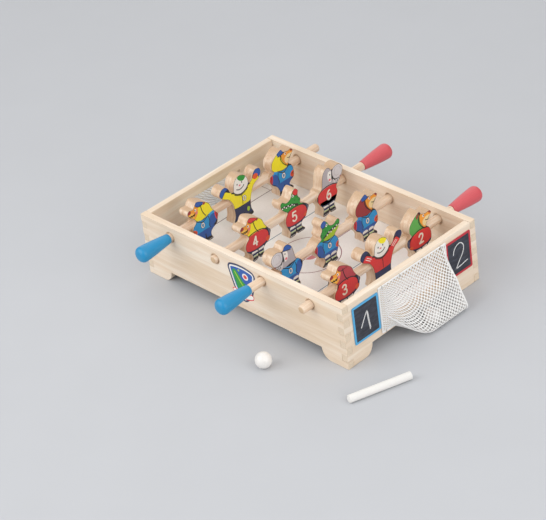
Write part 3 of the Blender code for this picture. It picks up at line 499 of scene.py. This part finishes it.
def legMarks(shift, spread, stripes):
    # leggings and boots under either kit; shift and spread are percentages of the width
    marks = []
    for way in (-1, 1):
        inner, outer = shift + way * 3, shift + way * spread
        legs = [(inner, 21), (outer, 21), (outer - way * 1, 8), (inner + way, 8)]
        marks.append((1, "white" if stripes else "darkBlue", "area", legs))
        if stripes:
            bands = (("navy", 3.2, 14.6), ("lime", 0.9, 10.4))
            marks += [(2, paint, "line", wide, [(inner, up), ((inner + outer) / 2, up - 0.4), (outer, up)]) for paint, wide, up in bands]
        marks.append((1, "black", "area", [(inner, 8), (outer, 8), (outer + way * 8, 4), (outer + way * 9, -1), (inner + way, -1)]))
        marks.append((2, "paleGrey", "line", 0.6, [(inner + way * 2, 2.4), ((inner + outer) / 2, 2.2), (outer + way * 4, 2.4)]))
    return marks


def heads(kind, cap, hood):
    if kind == "bear":
        marks = [
            (1, hood, "area", [(-9, 88), (6, 92), (18, 86), (30, 79), (36, 67), (40, 57), (22, 56), (6, 54), (-10, 52.5), (-22, 56), (-28.5, 61.5), (-24, 66), (-16, 71), (-12, 80)]),
            (1, "orange", "area", [(-12, 99), (-21, 94.5), (-29, 85), (-42, 88), (-54, 80), (-48, 69), (-36, 65), (-30, 62), (-19, 67), (-13, 77), (-11, 87)]),
            (2, "amber", "area", [(-46, 77), (-38, 79), (-30, 77), (-25, 71), (-30, 65), (-39, 65), (-46, 70)]),
            (3, "maroon", "dot", (-43, 82), (3.3, 2.7)),
            (4, "black", "line", 0.7, [(-43, 74), (-40, 71), (-37, 74), (-34, 70), (-31, 73.5), (-28, 70), (-24, 75)]),
            (2, "pink", "dot", (-19, 74), (2.2, 1.9)),
            (3, "white", "dot", (-22, 81), (1.6, 1.9)), (4, "black", "dot", (-23, 81), (0.8, 1.0)),
            (2, "maroon", "dot", (8.5, 85), (2.3, 2.0)),
            (3, "black", "line", 0.8, [(-4, 86), (-2, 76), (2, 66), (9, 57)]),
        ]
        if cap:
            marks += [(2, cap, "area", [(-20, 88), (-18, 96), (-8, 101), (4, 98.5), (8, 91), (3, 85), (-8, 83.5)]),
                      (3, "black", "line", 0.7, [(-20, 88), (-9, 83.5), (3, 84.5)])]
        return marks
    if kind == "fox":
        marks = [
            (1, hood, "area", [(-2, 92), (10, 99), (26, 92), (38, 82), (42, 67), (34, 58), (16, 56), (-4, 53), (-20, 56), (-12, 64), (-4, 74), (-1, 84)]),
            (1, "orange", "area", [(-5, 90), (-14, 95), (-28, 91), (-42, 92), (-52, 82), (-40, 72), (-28, 62), (-22, 58), (-14, 63), (-6, 73), (-3, 83)]),
            (2, "cream", "area", [(-22, 79), (-31, 81), (-42, 79), (-40, 74), (-31, 66), (-22, 62), (-14, 67), (-14, 75)]),
            (2, "maroon", "dot", (-43, 86), (2.7, 2.1)),
            (3, "black", "line", 0.7, [(-40, 77), (-32, 72), (-24, 74)]),
            (3, "white", "dot", (-18, 85), (1.6, 1.9)), (4, "black", "dot", (-19, 85), (0.8, 1.0)),
            (2, "maroon", "area", [(-2, 96), (2, 88), (8, 86), (8, 93)]),
            (3, "black", "line", 0.8, [(-2, 89), (1, 79), (-6, 67), (-18, 58)]),
        ]
        if cap:
            marks += [(3, cap, "area", [(-16, 92), (-10, 101), (3, 101), (12, 95), (9, 87), (-4, 87)]),
                      (4, "black", "line", 0.7, [(-17, 91), (-5, 87), (10, 86)])]
        return marks
    if kind == "crocodile":
        marks = [
            (1, "green", "area", [(6, 90), (-4, 95), (-13, 85), (-27, 82), (-40, 88), (-52, 84), (-50, 76), (-38, 75), (-24, 73), (-8, 71), (10, 65), (26, 62), (26, 72), (18, 82)]),
            (1, hood, "area", [(-46, 74), (-36, 70), (-20, 67.5), (-2, 64), (12, 60), (10, 56), (-8, 54), (-26, 56), (-38, 61)]),
            (1, "green", "area", [(14, 63), (26, 62), (30, 58), (16, 56), (12, 58)]),
            (2, "black", "line", 0.7, [(-49, 75), (-37, 72.5), (-22, 70.5), (-6, 68), (10, 62)]),
            (3, "white", "dot", (-2, 86), (2.0, 2.0)), (4, "black", "dot", (-3, 86), (0.9, 1.1)),
            (2, "darkGreen", "dot", (14, 78), (1.6, 1.2)), (2, "darkGreen", "dot", (19, 71), (1.6, 1.2)), (2, "darkGreen", "dot", (3, 75), (1.3, 1.0)),
            (2, "black", "dot", (-45, 82), (0.7, 0.6)),
        ]
        marks += [(3, "white", "dot", (-43 + 7 * i, 72.5 - 1.1 * i + (1.6 if i % 2 else -1.0)), (1.0, 1.2)) for i in range(7)]
        marks += [(3, cap, "dot", (9, 91), (5.2, 5.0)), (4, "black", "line", 0.7, [(1, 88), (6, 84), (14, 84), (18, 88)])]
        return marks
    if kind == "elephant":
        marks = [
            (1, "grey", "area", [(-10, 90), (-3, 99), (10, 101), (24, 91), (30, 76), (34, 61), (26, 57), (8, 56), (-12, 53), (-21, 53), (-16, 62), (-8, 70), (-9, 80)]),
            (1, "paleGrey", "area", [(-14, 88), (-26, 96), (-42, 94), (-52, 82), (-46, 71), (-34, 66), (-22, 66), (-13, 73), (-12, 81)]),
            (2, "grey", "line", 0.6, [(-42, 80), (-38, 88), (-29, 90), (-21, 86), (-19, 78), (-25, 72), (-34, 72)]),
            (1, "paleGrey", "area", [(-12, 69), (-21, 64), (-32, 64), (-42, 68), (-46, 64), (-34, 56), (-24, 52), (-16, 56)]),
            (2, "maroon", "dot", (-40, 65.5), (1.8, 1.6)),
            (3, "black", "line", 0.5, [(-34, 63), (-32, 59)]), (3, "black", "line", 0.5, [(-28, 62.5), (-27, 57.5)]), (3, "black", "line", 0.5, [(-22, 62), (-22, 57)]),
            (2, "white", "area", [(-8, 88), (2, 88), (6, 78), (2, 68), (-5, 66), (-7, 74)]),
            (3, "pink", "dot", (-1, 71), (2.1, 1.9)),
            (3, "white", "dot", (-2, 82), (1.7, 2.0)), (4, "black", "dot", (-3, 82), (0.8, 1.1)),
            (3, "black", "line", 0.7, [(-12, 90), (-11, 80), (-13, 72), (-19, 64)]),
        ]
        if cap:
            marks += [(3, cap, "area", [(-10, 91), (-4, 101), (11, 102), (24, 92), (16, 86), (4, 88)]),
                      (4, "black", "line", 0.7, [(-10, 90), (3, 87), (16, 85)])]
        return marks
    jersey, gloves, crest = hood, cap, "green" if hood == "yellow" else "yellow"
    marks = [
        (1, "white", "area", [(0, 101), (14, 95), (18, 82), (18, 72), (12, 63), (0, 58), (-12, 63), (-18, 72), (-18, 82), (-14, 95)]),
        (1, jersey, "area", [(-21, 67), (-12, 60.5), (0, 55.5), (12, 60.5), (21, 67), (28, 58), (25, 46), (23, 33), (0, 31), (-23, 33), (-25, 46), (-28, 58)]),
        (1, "navy", "area", [(-24, 32), (0, 29.5), (24, 32), (24, 20), (24, 6), (4, 6), (0, 14), (-4, 6), (-24, 6), (-24, 20)]),
        (1, "black", "area", [(-26, 5), (-5, 5), (-2, -1), (-26, -1)]), (1, "black", "area", [(5, 5), (27, 5), (27, -1), (5, -1)]),
        (2, "black", "line", 0.8, [(-16, 62), (-8, 57), (0, 54.5), (8, 57), (16, 62)]),
        (2, "black", "line", 0.6, [(0, 54), (-0.5, 44), (0, 33)]),
        (2, crest, "area", [(-14, 90), (-9, 97), (0, 101), (5, 94), (0, 86), (-8, 83)]),
        (3, "black", "dot", (-4, 81), (0.9, 1.3)), (3, "black", "dot", (7, 81), (0.9, 1.3)),
        (3, "pink", "dot", (1.5, 76.5), (1.7, 1.2)),
        (3, "black", "line", 0.8, [(-8, 73), (-3, 69), (4, 68), (10, 71)]),
    ]
    for way in (-1, 1):
        marks += [
            (1, jersey, "area", [(way * 22, 69), (way * 29, 75), (way * 36, 79), (way * 44, 70), (way * 38, 62), (way * 29, 58)]),
            (1, gloves, "area", [(way * 33, 82), (way * 28, 86), (way * 36, 94), (way * 50, 93), (way * 54, 78), (way * 45, 71), (way * 38, 79)]),
            (2, "black", "line", 0.6, [(way * 30, 81), (way * 36, 80.5), (way * 44, 71)]),
        ]
        if jersey == "red":
            marks += [(2, "white", "line", 0.9, [(way * (24.5 + 3 * k), 66.3 - 2.5 * k), (way * (29.5 + 3 * k), 70.6 - 2.5 * k), (way * (34.5 + 3 * k), 74.8 - 2.5 * k)]) for k in (0, 1)]
    if jersey == "yellow":
        marks += [(2, "lime", "dot", (-11, 16), (2.6, 3.6)), (2, "scarlet", "dot", (-36, 76), (4.8, 4.2))]
    return marks


players = [  # node, kind, way that it looks along Y, team kit, number, cap, hood or jaw
    ("rod_1_front_bear", "bear", -1, "blue", "0", "darkBlue", "yellow"), ("rod_1_middle_keeper", "keeper", 1, "keeper", "0", "darkBlue", "yellow"),
    ("rod_1_back_fox", "fox", 1, "blue", "0", "darkBlue", "yellow"), ("rod_2_front_bear", "bear", -1, "red", "4", "red", "yellow"),
    ("rod_2_middle_crocodile", "crocodile", -1, "red", "5", "red", "green"), ("rod_2_back_elephant", "elephant", 1, "red", "6", None, "grey"),
    ("rod_3_front_elephant", "elephant", -1, "blue", "0", "darkBlue", "grey"), ("rod_3_middle_crocodile", "crocodile", 1, "blue", "0", "darkBlue", "lime"),
    ("rod_3_back_fox", "fox", 1, "blue", "0", "darkBlue", "maroon"), ("rod_4_front_bear", "bear", -1, "red", "3", "crimson", "crimson"),
    ("rod_4_middle_keeper", "keeper", 1, "keeper", None, "navy", "red"), ("rod_4_back_fox", "fox", 1, "red", "2", None, "leaf"),
]
legs = {"bear": (0, 21), "fox": (-2, 20), "crocodile": (-4, 21), "elephant": (11, 20)}


def buildPlayer(node, kind, way, kit, number, cap, hood):
    low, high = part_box(node)
    middle = (low + high) / 2
    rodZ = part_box("rod_" + node[4])[0].z + rodLook["radius"] * mm
    body = f"rod_{node[4]}_with_figures"
    width, tall = widths[kind] / 100, figureLook["height"] / 100

    def toMm(point):
        return Vector((-way * point[0] * width, point[1] * tall - figureLook["foot"]))

    loop = smoothLoop([toMm(p) for p in outlines[kind]], 5)
    shift = (min(p.x for p in loop) + max(p.x for p in loop)) / 2
    half = (high.x - low.x) / 2 / mm

    def toWorld(across, up, out, side=1):
        return Vector((middle.x + side * (half + out) * mm, middle.y + (across - shift) * mm, rodZ + up * mm))

    # the wooden body
    bm = bmesh.new()
    pushedFace(bm, [toWorld(p.x, p.y, 0, -1) for p in loop], (2 * half * mm, 0, 0))
    bmesh.ops.recalc_face_normals(bm, faces=bm.faces)
    wood = makePiece(node + "_wood", bm, [figureWood], body, [node], 30)
    bevel = wood.modifiers.new("SandedEdge", "BEVEL")
    bevel.limit_method, bevel.angle_limit, bevel.width, bevel.segments, bevel.profile = "ANGLE", math.radians(60), figureLook["edge"] * mm, 2, 0.5
    bevel.harden_normals = True

    # its print: an ink silhouette with every colour laid on it inside the ink's edge
    marks = [m for m in heads(kind, cap, hood)]
    if kit != "keeper":
        slide = {"elephant": 9, "fox": -1}.get(kind, 0)
        for mark in (blueKit if kit == "blue" else redKit):
            marks.append(mark[:-1] + ([(a + slide, z) for a, z in mark[-1]],))
        marks += legMarks(*legs[kind], not (kit == "blue" and node.startswith("rod_1")))
    bm = bmesh.new()
    ink = shrunkLoop(loop, figureLook["inkInset"])
    limit = shrunkLoop(loop, figureLook["paintInset"])
    numberAt = toMm(({"elephant": 8, "fox": -3}.get(kind, -5), 40 if kit == "blue" else (44 if kit == "keeper" else 41)))
    for side in (1, -1):
        pushedFace(bm, [toWorld(p.x, p.y, -0.2, side) for p in ink], (side * (0.2 + figureLook["levels"][0]) * mm, 0, 0), paintNames.index("black"))
        shapes = []
        for level, paint, shape, *data in marks:
            if shape == "area":
                shapes.append((level, paint, smoothLoop([toMm(p) for p in data[0]])))
            elif shape == "dot":
                shapes.append((level, paint, ovalLoop(toMm(data[0]), data[1], 16)))
            else:
                weight = data[0] * (figureLook["inkWeight"] if paint == "black" else 1)
                shapes.append((level, paint, strokeLoop(smoothPath([toMm(p) for p in data[1]]), weight)))
        if number == "0":
            shapes += [(3, "black", ovalLoop(numberAt, (3.5, 4.6))), (4, "white", ovalLoop(numberAt, (3.0, 4.1))), (5, "black", ovalLoop(numberAt, (1.5, 2.6))),
                       (6, {"yellow": "yellow"}.get(hood if kind == "keeper" else "", "blue"), ovalLoop(numberAt, (1.0, 2.1)))]
        elif number:
            size = Vector((figureLook["numberWide"], figureLook["numberTall"]))
            for path in numberPaths[number]:
                spots = [numberAt + Vector((side * (a / 100 - 0.5) * size.x, (z / 100 - 0.5) * size.y)) for a, z in path]
                shapes.append((3, "ivory", strokeLoop(smoothPath(spots), figureLook["numberStroke"])))
        for order, (level, paint, shape) in enumerate(shapes):
            held = heldInside(shape, limit)
            if len(held) < 3:
                continue
            top = figureLook["levels"][min(level, 4)] + max(level - 4, 0) * 0.04 + order * figureLook["step"]
            pushedFace(bm, [toWorld(p.x, p.y, 0.02, side) for p in held], (side * (top - 0.02) * mm, 0, 0), paintNames.index(paint))
    bmesh.ops.recalc_face_normals(bm, faces=bm.faces)
    makePiece(node + "_print", bm, paints, body, [], 30)


for player in players:
    buildPlayer(*player)
print("players cut out and printed")

# the goal nets: knotted white cord in diamonds, hung on the end panels and let out into a bag
netLook = {"start": 63.0, "width": 123.0, "top": 87.0, "foot": 20.5, "seat": 1.05, "standOff": 3.4, "bagDepth": 35.2, "bagFloor": 2.0,
           "bagStart": 10.0, "bagFull": 59.0, "shut": 4.5, "margin": 10.5, "hemRows": 12, "cellsAcross": 22, "cellsDown": 24, "thread": 0.44,
           "thick": 0.78, "cord": 1.15, "seamAt": 0.70, "cut": (0.150, 0.137), "clothArea": 0.016}
netSection = [(0, 100), (10, 88.5), (14, 76), (33, 60.5), (56, 50), (74, 31), (94, 15), (100, 7), (93, 1.5), (58, 0), (28, 3), (6, 10.5), (3, 21)]


# how far down the section each row of knots lies, so that all are the same length of thread apart
netLine = smoothPath([(x * netLook["bagDepth"] / 100, z * (netLook["top"] - netLook["bagFloor"]) / 100) for x, z in netSection], 20)
netReach = [0.0]
for a, b in zip(netLine, netLine[1:]):
    netReach.append(netReach[-1] + (b - a).length)


def netShare(t):
    # the place on the section where this share of its length has passed
    i = next((k for k, reach in enumerate(netReach) if reach >= t * netReach[-1]), len(netReach) - 1)
    if i == 0:
        return netLine[0]
    part = (t * netReach[-1] - netReach[i - 1]) / (netReach[i] - netReach[i - 1])
    return netLine[i - 1].lerp(netLine[i], part)


def netSpot(along, t):
    # out of the panel, along it and up, in mm; t runs from 0 at the top of the sheet to 1 at its foot
    n = netLook
    row, rows = t * n["hemRows"], n["hemRows"]
    spot = netShare(t)
    margin = min(along, n["width"] - along) / n["margin"]
    hung = max(min(row, rows - row, margin, 1), 0)
    flatOut = n["seat"] + (n["standOff"] - n["seat"]) * hung
    flatUp = n["top"] + (n["foot"] - n["top"]) * t
    fullOut = max(flatOut, spot.x)
    fullUp = n["bagFloor"] + spot.y
    opening = min(max((along - n["bagStart"]) / (n["bagFull"] - n["bagStart"]), 0), 1)
    shutting = min(max((n["width"] - along) / n["shut"], 0), 1)
    fullness = math.sin(math.pi / 2 * opening) * math.sin(math.pi / 2 * shutting)
    held = min(max((rows - row) / 0.8, 0), 1)  # the foot of the sheet stays on the panel
    fullness *= held
    return flatOut + (fullOut - flatOut) * fullness, along, flatUp + (fullUp - flatUp) * fullness


def netPlace(spot, end):
    out, along, up = spot
    return at(370 + out, netLook["start"] + along, up) if end == "near" else at(-out, 245 - netLook["start"] - along, up)


def cordMaterial(name, code, pitch):
    # spun polyester: soft white with a fine twist
    material, tree, shader = startMaterial(name, {"Roughness": 0.78, "Sheen Weight": 0.25, "Sheen Roughness": 0.5, "IOR": 1.45})
    coords = addNode(tree, "ShaderNodeTexCoord")
    twist = addNode(tree, "ShaderNodeTexNoise", {"Vector": coords.outputs["Object"], "Scale": 1 / (pitch * mm), "Detail": 3.0, "Roughness": 0.6})
    tone = addNode(tree, "ShaderNodeValToRGB", {"Fac": twist.outputs["Fac"]}, [(0.3, scaled(hexColour(code), 0.86)), (0.6, hexColour(code))])
    bump = addNode(tree, "ShaderNodeBump", {"Height": twist.outputs["Fac"], "Strength": 0.5, "Distance": 0.12 * mm})
    tree.links.new(tone.outputs[0], shader.inputs["Base Color"])
    tree.links.new(bump.outputs[0], shader.inputs["Normal"])
    return material


netCord = cordMaterial("whiteNetCord", "F4F3F1", 0.5)


def buildNet(end):
    n = netLook
    bm = bmesh.new()
    bmesh.ops.create_grid(bm, x_segments=n["cellsAcross"], y_segments=n["cellsDown"], size=0.5)
    inner = [e for e in bm.edges if not e.is_boundary]
    bmesh.ops.poke(bm, faces=bm.faces)
    bmesh.ops.dissolve_edges(bm, edges=inner, use_verts=False)
    for vert in bm.verts:
        vert.co = netPlace(netSpot((vert.co.x + 0.5) * n["width"], 0.5 - vert.co.y), end)
    cells = list(bm.faces)
    for cell in cells:
        short = min(edge.calc_length() for edge in cell.edges)
        bmesh.ops.inset_individual(bm, faces=[cell], thickness=min(n["thread"] * mm, short * 0.3))
    bmesh.ops.delete(bm, geom=cells, context="FACES_ONLY")
    bmesh.ops.recalc_face_normals(bm, faces=bm.faces)
    net = makePiece(f"{end}_net_mesh", bm, [netCord], "table", [f"{end}_goal_net"], 180)
    thick = net.modifiers.new("ThreadThickness", "SOLIDIFY")
    thick.thickness, thick.offset = n["thick"] * mm, 0
    soft = net.modifiers.new("RoundThreads", "SUBSURF")
    soft.levels = soft.render_levels = 1
    return net


def buildNetCord(end, name, spots):
    # a thicker cord swept along the sheet's edge
    curve = bpy.data.curves.new(name, "CURVE")
    curve.dimensions, curve.bevel_depth, curve.bevel_resolution, curve.use_fill_caps = "3D", netLook["cord"] * mm, 3, True
    line = curve.splines.new("POLY")
    line.points.add(len(spots) - 1)
    for point, spot in zip(line.points, spots):
        point.co = (*netPlace(spot, end), 1)
    swept = bpy.data.objects.new(name, curve)
    bpy.context.collection.objects.link(swept)
    bm = bmesh.new()
    bm.from_mesh(swept.to_mesh())
    swept.to_mesh_clear()
    bpy.data.objects.remove(swept)
    bpy.data.curves.remove(curve)
    bmesh.ops.remove_doubles(bm, verts=bm.verts, dist=0.01 * mm)
    bmesh.ops.recalc_face_normals(bm, faces=bm.faces)
    return makePiece(name, bm, [netCord], "table", [], 60)


for end in ("near", "far"):
    net = buildNet(end)
    wide = netLook["width"]
    steps = [i / 40 for i in range(41)]
    topEdge = [netSpot(wide * t, 0) for t in steps]
    outerEdge = [netSpot(0, t) for t in steps]
    footEdge = [netSpot(wide * t, 1) for t in steps]
    ridge = [netSpot(wide - netLook["shut"], 0.78 * t) for t in steps]
    shutEdge = [netSpot(wide, t) for t in steps]
    seam = [netSpot(netLook["bagStart"] + (wide - netLook["bagStart"]) * t, netLook["seamAt"]) for t in steps]
    cords = [buildNetCord(end, f"{end}_net_{part}_cord", spots) for part, spots in
             (("top", topEdge), ("left", outerEdge), ("foot", footEdge), ("ridge", ridge), ("right", shutEdge), ("seam", seam))]
print("nets knotted")

# staples: bright wire, one over each fold of the net's edge
def wireMaterial():
    material, tree, shader = startMaterial("brightStapleWire", {"Metallic": 1.0})
    coords = addNode(tree, "ShaderNodeTexCoord")
    wear = addNode(tree, "ShaderNodeTexNoise", {"Vector": coords.outputs["Object"], "Scale": 1 / (0.5 * mm), "Detail": 2.0})
    tone = addNode(tree, "ShaderNodeValToRGB", {"Fac": wear.outputs["Fac"]}, [(0.3, hexColour("C9C8C5")), (0.65, hexColour("E6E4E1"))])
    gloss = addNode(tree, "ShaderNodeMapRange", {0: wear.outputs["Fac"], 3: 0.45, 4: 0.28})
    tree.links.new(tone.outputs[0], shader.inputs["Base Color"])
    tree.links.new(gloss.outputs[0], shader.inputs["Roughness"])
    return material


stapleWire = wireMaterial()
for name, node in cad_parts.items():
    if "staple" in name:
        node.material_slots[0].material = stapleWire

# the score slates: dark film with a coloured border, chalked over and wiped many times
slateLook = {"blue": "55A9DA", "red": "C23340", "slate": "2D2F38", "dust": "4C505C", "chalk": "E9E8E6", "stroke": 1.4, "chalkThick": 0.12}
chalkDigits = {"one": [[(28.0, 48.0), (34.0, 58.5), (39.6, 67.4)], [(39.6, 67.8), (41.0, 54), (42.8, 38.6)], [(41.0, 66.0), (42.2, 53), (43.6, 40.5)]],
               "two": [[(199.4, 61.1), (201.5, 68), (207, 72.6), (214, 73.2), (219.1, 66.5), (216.7, 57), (209, 47.5), (202.6, 39.1)],
                       [(202.4, 39.2), (212, 40.0), (224.6, 42.2)]]}


def slateMaterial(name, code, dustCode, scale):
    material, tree, shader = startMaterial(name, {"IOR": 1.45})
    coords = addNode(tree, "ShaderNodeTexCoord")
    wipes = addNode(tree, "ShaderNodeMapping", {"Vector": coords.outputs["Object"], "Scale": grainScale(1, *scale)})
    dust = addNode(tree, "ShaderNodeTexNoise", {"Vector": wipes.outputs[0], "Scale": 1.0, "Detail": 5.0, "Roughness": 0.65})
    tone = addNode(tree, "ShaderNodeValToRGB", {"Fac": dust.outputs["Fac"]}, [(0.42, hexColour(code)), (0.78, hexColour(dustCode))])
    gloss = addNode(tree, "ShaderNodeMapRange", {0: dust.outputs["Fac"], 3: 0.5, 4: 0.75})
    tree.links.new(tone.outputs[0], shader.inputs["Base Color"])
    tree.links.new(gloss.outputs[0], shader.inputs["Roughness"])
    return material


def chalkMaterial(name, code, gapCode, amount):
    # chalk catches on high spots, so a stroke is speckled
    material, tree, shader = startMaterial(name, {"Roughness": 0.92, "Specular IOR Level": 0.2})
    coords = addNode(tree, "ShaderNodeTexCoord")
    grit = addNode(tree, "ShaderNodeTexNoise", {"Vector": coords.outputs["Object"], "Scale": 1 / (0.45 * mm), "Detail": 3.0, "Roughness": 0.7})
    tone = addNode(tree, "ShaderNodeValToRGB", {"Fac": grit.outputs["Fac"]}, [(amount, hexColour(gapCode)), (amount + 0.12, hexColour(code))])
    bump = addNode(tree, "ShaderNodeBump", {"Height": grit.outputs["Fac"], "Strength": 0.6, "Distance": 0.08 * mm})
    tree.links.new(tone.outputs[0], shader.inputs["Base Color"])
    tree.links.new(bump.outputs[0], shader.inputs["Normal"])
    return material


slateFilm = slateMaterial("wipedChalkboardFilm", slateLook["slate"], slateLook["dust"], (14, 4))
for colour in ("blue", "red"):
    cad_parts[colour + "_chalkboard"].material_slots[0].material = slateFilm
    border = slateMaterial(f"satin{colour.capitalize()}Border", slateLook[colour], slateLook[colour], (10, 2))
    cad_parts[colour + "_chalkboard_border"].material_slots[0].material = border
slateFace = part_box("blue_chalkboard")[1].x
chalked = chalkMaterial("chalkedDigit", slateLook["chalk"], "6E7280", 0.36)
for digit, paths in chalkDigits.items():
    bm = bmesh.new()
    for path in paths:
        outline = strokeLoop(smoothPath(path, 6), slateLook["stroke"])
        pushedFace(bm, [Vector((slateFace - 0.02 * mm, at(0, p.x, 0).y, p.y * mm)) for p in outline], (slateLook["chalkThick"] * mm, 0, 0))
    bmesh.ops.recalc_face_normals(bm, faces=bm.faces)
    makePiece(f"chalked_{digit}", bm, [chalked], "table", [])
print("slates chalked")

# the balls and the stick of chalk
ballLook = {"radius": 11.0, "white": "EDEAE6"}
chalkLook = {"length": 86.0, "radius": 5.25, "turn": -19.0, "edge": 0.8, "white": "ECEAE6"}
ballPaint = paintMaterial("whiteLacquerOnBeech", ballLook["white"], {"grain": 2, "fibre": (3, 3), "thin": 0.95, "roughness": 0.32, "relief": 0.02, "coat": 0.3})
for name in ("ball_in_net", "loose_ball"):
    low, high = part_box(name)
    bm = bmesh.new()
    bmesh.ops.create_uvsphere(bm, u_segments=48, v_segments=24, radius=ballLook["radius"] * mm)
    bmesh.ops.translate(bm, verts=bm.verts, vec=(low + high) / 2)
    makePiece(name + "_lacquered", bm, [ballPaint], "table", [name])
low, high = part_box("chalk_stick")
half, r, e = chalkLook["length"] / 2, chalkLook["radius"], chalkLook["edge"]
profile = [(0, -half), (r - e, -half)] + quarter((r - e, -half), (r, -half + e), 3)[1:] + quarter((r, half - e), (r - e, half), 3) + [(0, half)]
bm = spunAboutY(profile, Vector((0, 0, 0)), 1, 32)
bmesh.ops.rotate(bm, verts=bm.verts, cent=(0, 0, 0), matrix=Matrix.Rotation(math.radians(chalkLook["turn"]), 3, "Z"))
bmesh.ops.translate(bm, verts=bm.verts, vec=(low + high) / 2)
makePiece("chalk_stick_pressed", bm, [chalkMaterial("pressedWhiteChalk", chalkLook["white"], "DAD8D3", 0.3)], "table", ["chalk_stick"])
print("balls and chalk made")

# the badge printed on the front side: a plain shield with a green bend, a ball and a ribbon
badgeLook = {"centre": (190.0, 57.0), "navyEdge": 2.7, "whiteRing": 2.4, "ribbon": 9.0, "ribbonEdge": 1.5, "steps": (0.06, 0.10, 0.14, 0.18, 0.22)}
shield = smoothLoop([(-25, 19), (-21, 24.5), (-10, 27), (0, 27.6), (10, 27), (21, 24.5), (25, 19), (24.2, 12), (22, 4), (19.5, -5), (16, -14),
                     (9, -23), (0, -28.5), (-9, -23), (-16, -14), (-19.5, -5), (-22, 4), (-24.2, 12)])
ring = shrunkLoop(shield, badgeLook["navyEdge"])
field = shrunkLoop(ring, badgeLook["whiteRing"])
bend = smoothLoop([(-17.2, 12), (-15, 17.5), (-10, 17), (-4, 9.5), (3, 1.5), (12.5, -1), (12, -8), (7, -16), (-6, -17), (-10.5, -10), (-14.2, 1)])
shine = strokeLoop(smoothPath([(-12.5, 14), (-7, 5.5), (0, -3.5), (8, -7.5)]), 1.8)
sash = smoothPath([(-17.5, -15.5), (-9, -18.4), (0, -19.6), (8, -18.6), (15, -15.8)])
ribbon = strokeLoop(sash, badgeLook["ribbon"])
ribbonFace = strokeLoop(sash, badgeLook["ribbon"] - 2 * badgeLook["ribbonEdge"])
badge = [(0, "navy", shield), (1, "white", ring), (2, "darkBlue", field), (3, "green", bend), (4, "lime", shine), (3, "white", ovalLoop((6.5, 12.5), (5.4, 5.0))),
         (4, "red", ovalLoop((6.5, 12.5), (3.2, 2.9))), (3, "lime", ovalLoop((-4.8, 18.6), (1.5, 1.8), 12)), (3, "red", ribbon), (4, "white", ribbonFace)]
bm = bmesh.new()
for order, (level, paint, loop) in enumerate(badge):
    base = Vector(at(badgeLook["centre"][0], 0.03, badgeLook["centre"][1]))
    corners = [base + Vector((p.x, 0, p.y)) * mm for p in loop]
    pushedFace(bm, corners, (0, -(0.03 + badgeLook["steps"][level] + order * 0.001) * mm, 0), paintNames.index(paint))
bmesh.ops.recalc_face_normals(bm, faces=bm.faces)
makePiece("front_badge_print", bm, paints, "table", [], 30)
print("badge printed")


# the floor, the light and the camera
def stageMaterial(name, code, roughness):
    material, tree, shader = startMaterial(name, {"Roughness": roughness, "Specular IOR Level": 0.2})
    coords = addNode(tree, "ShaderNodeTexCoord")
    mottle = addNode(tree, "ShaderNodeTexNoise", {"Vector": coords.outputs["Object"], "Scale": 9.0, "Detail": 2.0})
    tone = addNode(tree, "ShaderNodeValToRGB", {"Fac": mottle.outputs["Fac"]}, [(0.3, scaled(hexColour(code), 0.985)), (0.7, hexColour(code))])
    tree.links.new(tone.outputs[0], shader.inputs["Base Color"])
    return material


stageLook = {"floor": "C3C5C9", "reach": 12.0}
cameraLook = {"place": (1.8215, -1.6205, 1.6393), "turn": (56.493, 6.688, 45.445), "lens": 147.704}
lamps = [  # name, place, power, size
    ("keySoftbox", (-0.75, -1.75, 1.2), 34.5, 2.3), ("fillSoftbox", (1.9, -0.2, 1.0), 27.0, 2.2), ("topSoftbox", (0.1, 0.5, 1.9), 13.0, 2.4),
    ("backSoftbox", (-1.6, 1.4, 1.2), 11.0, 2.0)]
bm = bmesh.new()
bmesh.ops.create_grid(bm, x_segments=8, y_segments=8, size=stageLook["reach"] / 2)
floorMesh = bpy.data.meshes.new("studioFloor")
bm.to_mesh(floorMesh)
bm.free()
floorMesh.materials.append(stageMaterial("matteStudioFloor", stageLook["floor"], 0.9))
studioFloor = bpy.data.objects.new("studioFloor", floorMesh)
bpy.context.collection.objects.link(studioFloor)
studioFloor.location.z = -0.3 * mm
for name, place, power, size in lamps:
    light = bpy.data.lights.new(name, "AREA")
    light.shape, light.size, light.energy = "SQUARE", size, power
    lamp = bpy.data.objects.new(name, light)
    lamp.location = place
    lamp.rotation_euler = (-Vector(place)).to_track_quat("-Z", "Y").to_euler()
    bpy.context.collection.objects.link(lamp)
world = bpy.data.worlds.new("studioWorld")
bpy.context.scene.world = world
world.use_nodes = True
world.node_tree.nodes["Background"].inputs["Color"].default_value = hexColour("F0EFEE")
world.node_tree.nodes["Background"].inputs["Strength"].default_value = 0.42
bpy.context.scene.view_settings.view_transform = "Standard"
lens = bpy.data.cameras.new("photoCamera")
lens.sensor_width, lens.lens = 36.0, cameraLook["lens"]
lens.clip_end = 50.0
camera = bpy.data.objects.new("photoCamera", lens)
camera.location = cameraLook["place"]
camera.rotation_euler = [math.radians(a) for a in cameraLook["turn"]]
bpy.context.collection.objects.link(camera)
bpy.context.scene.camera = camera
print("stage set")
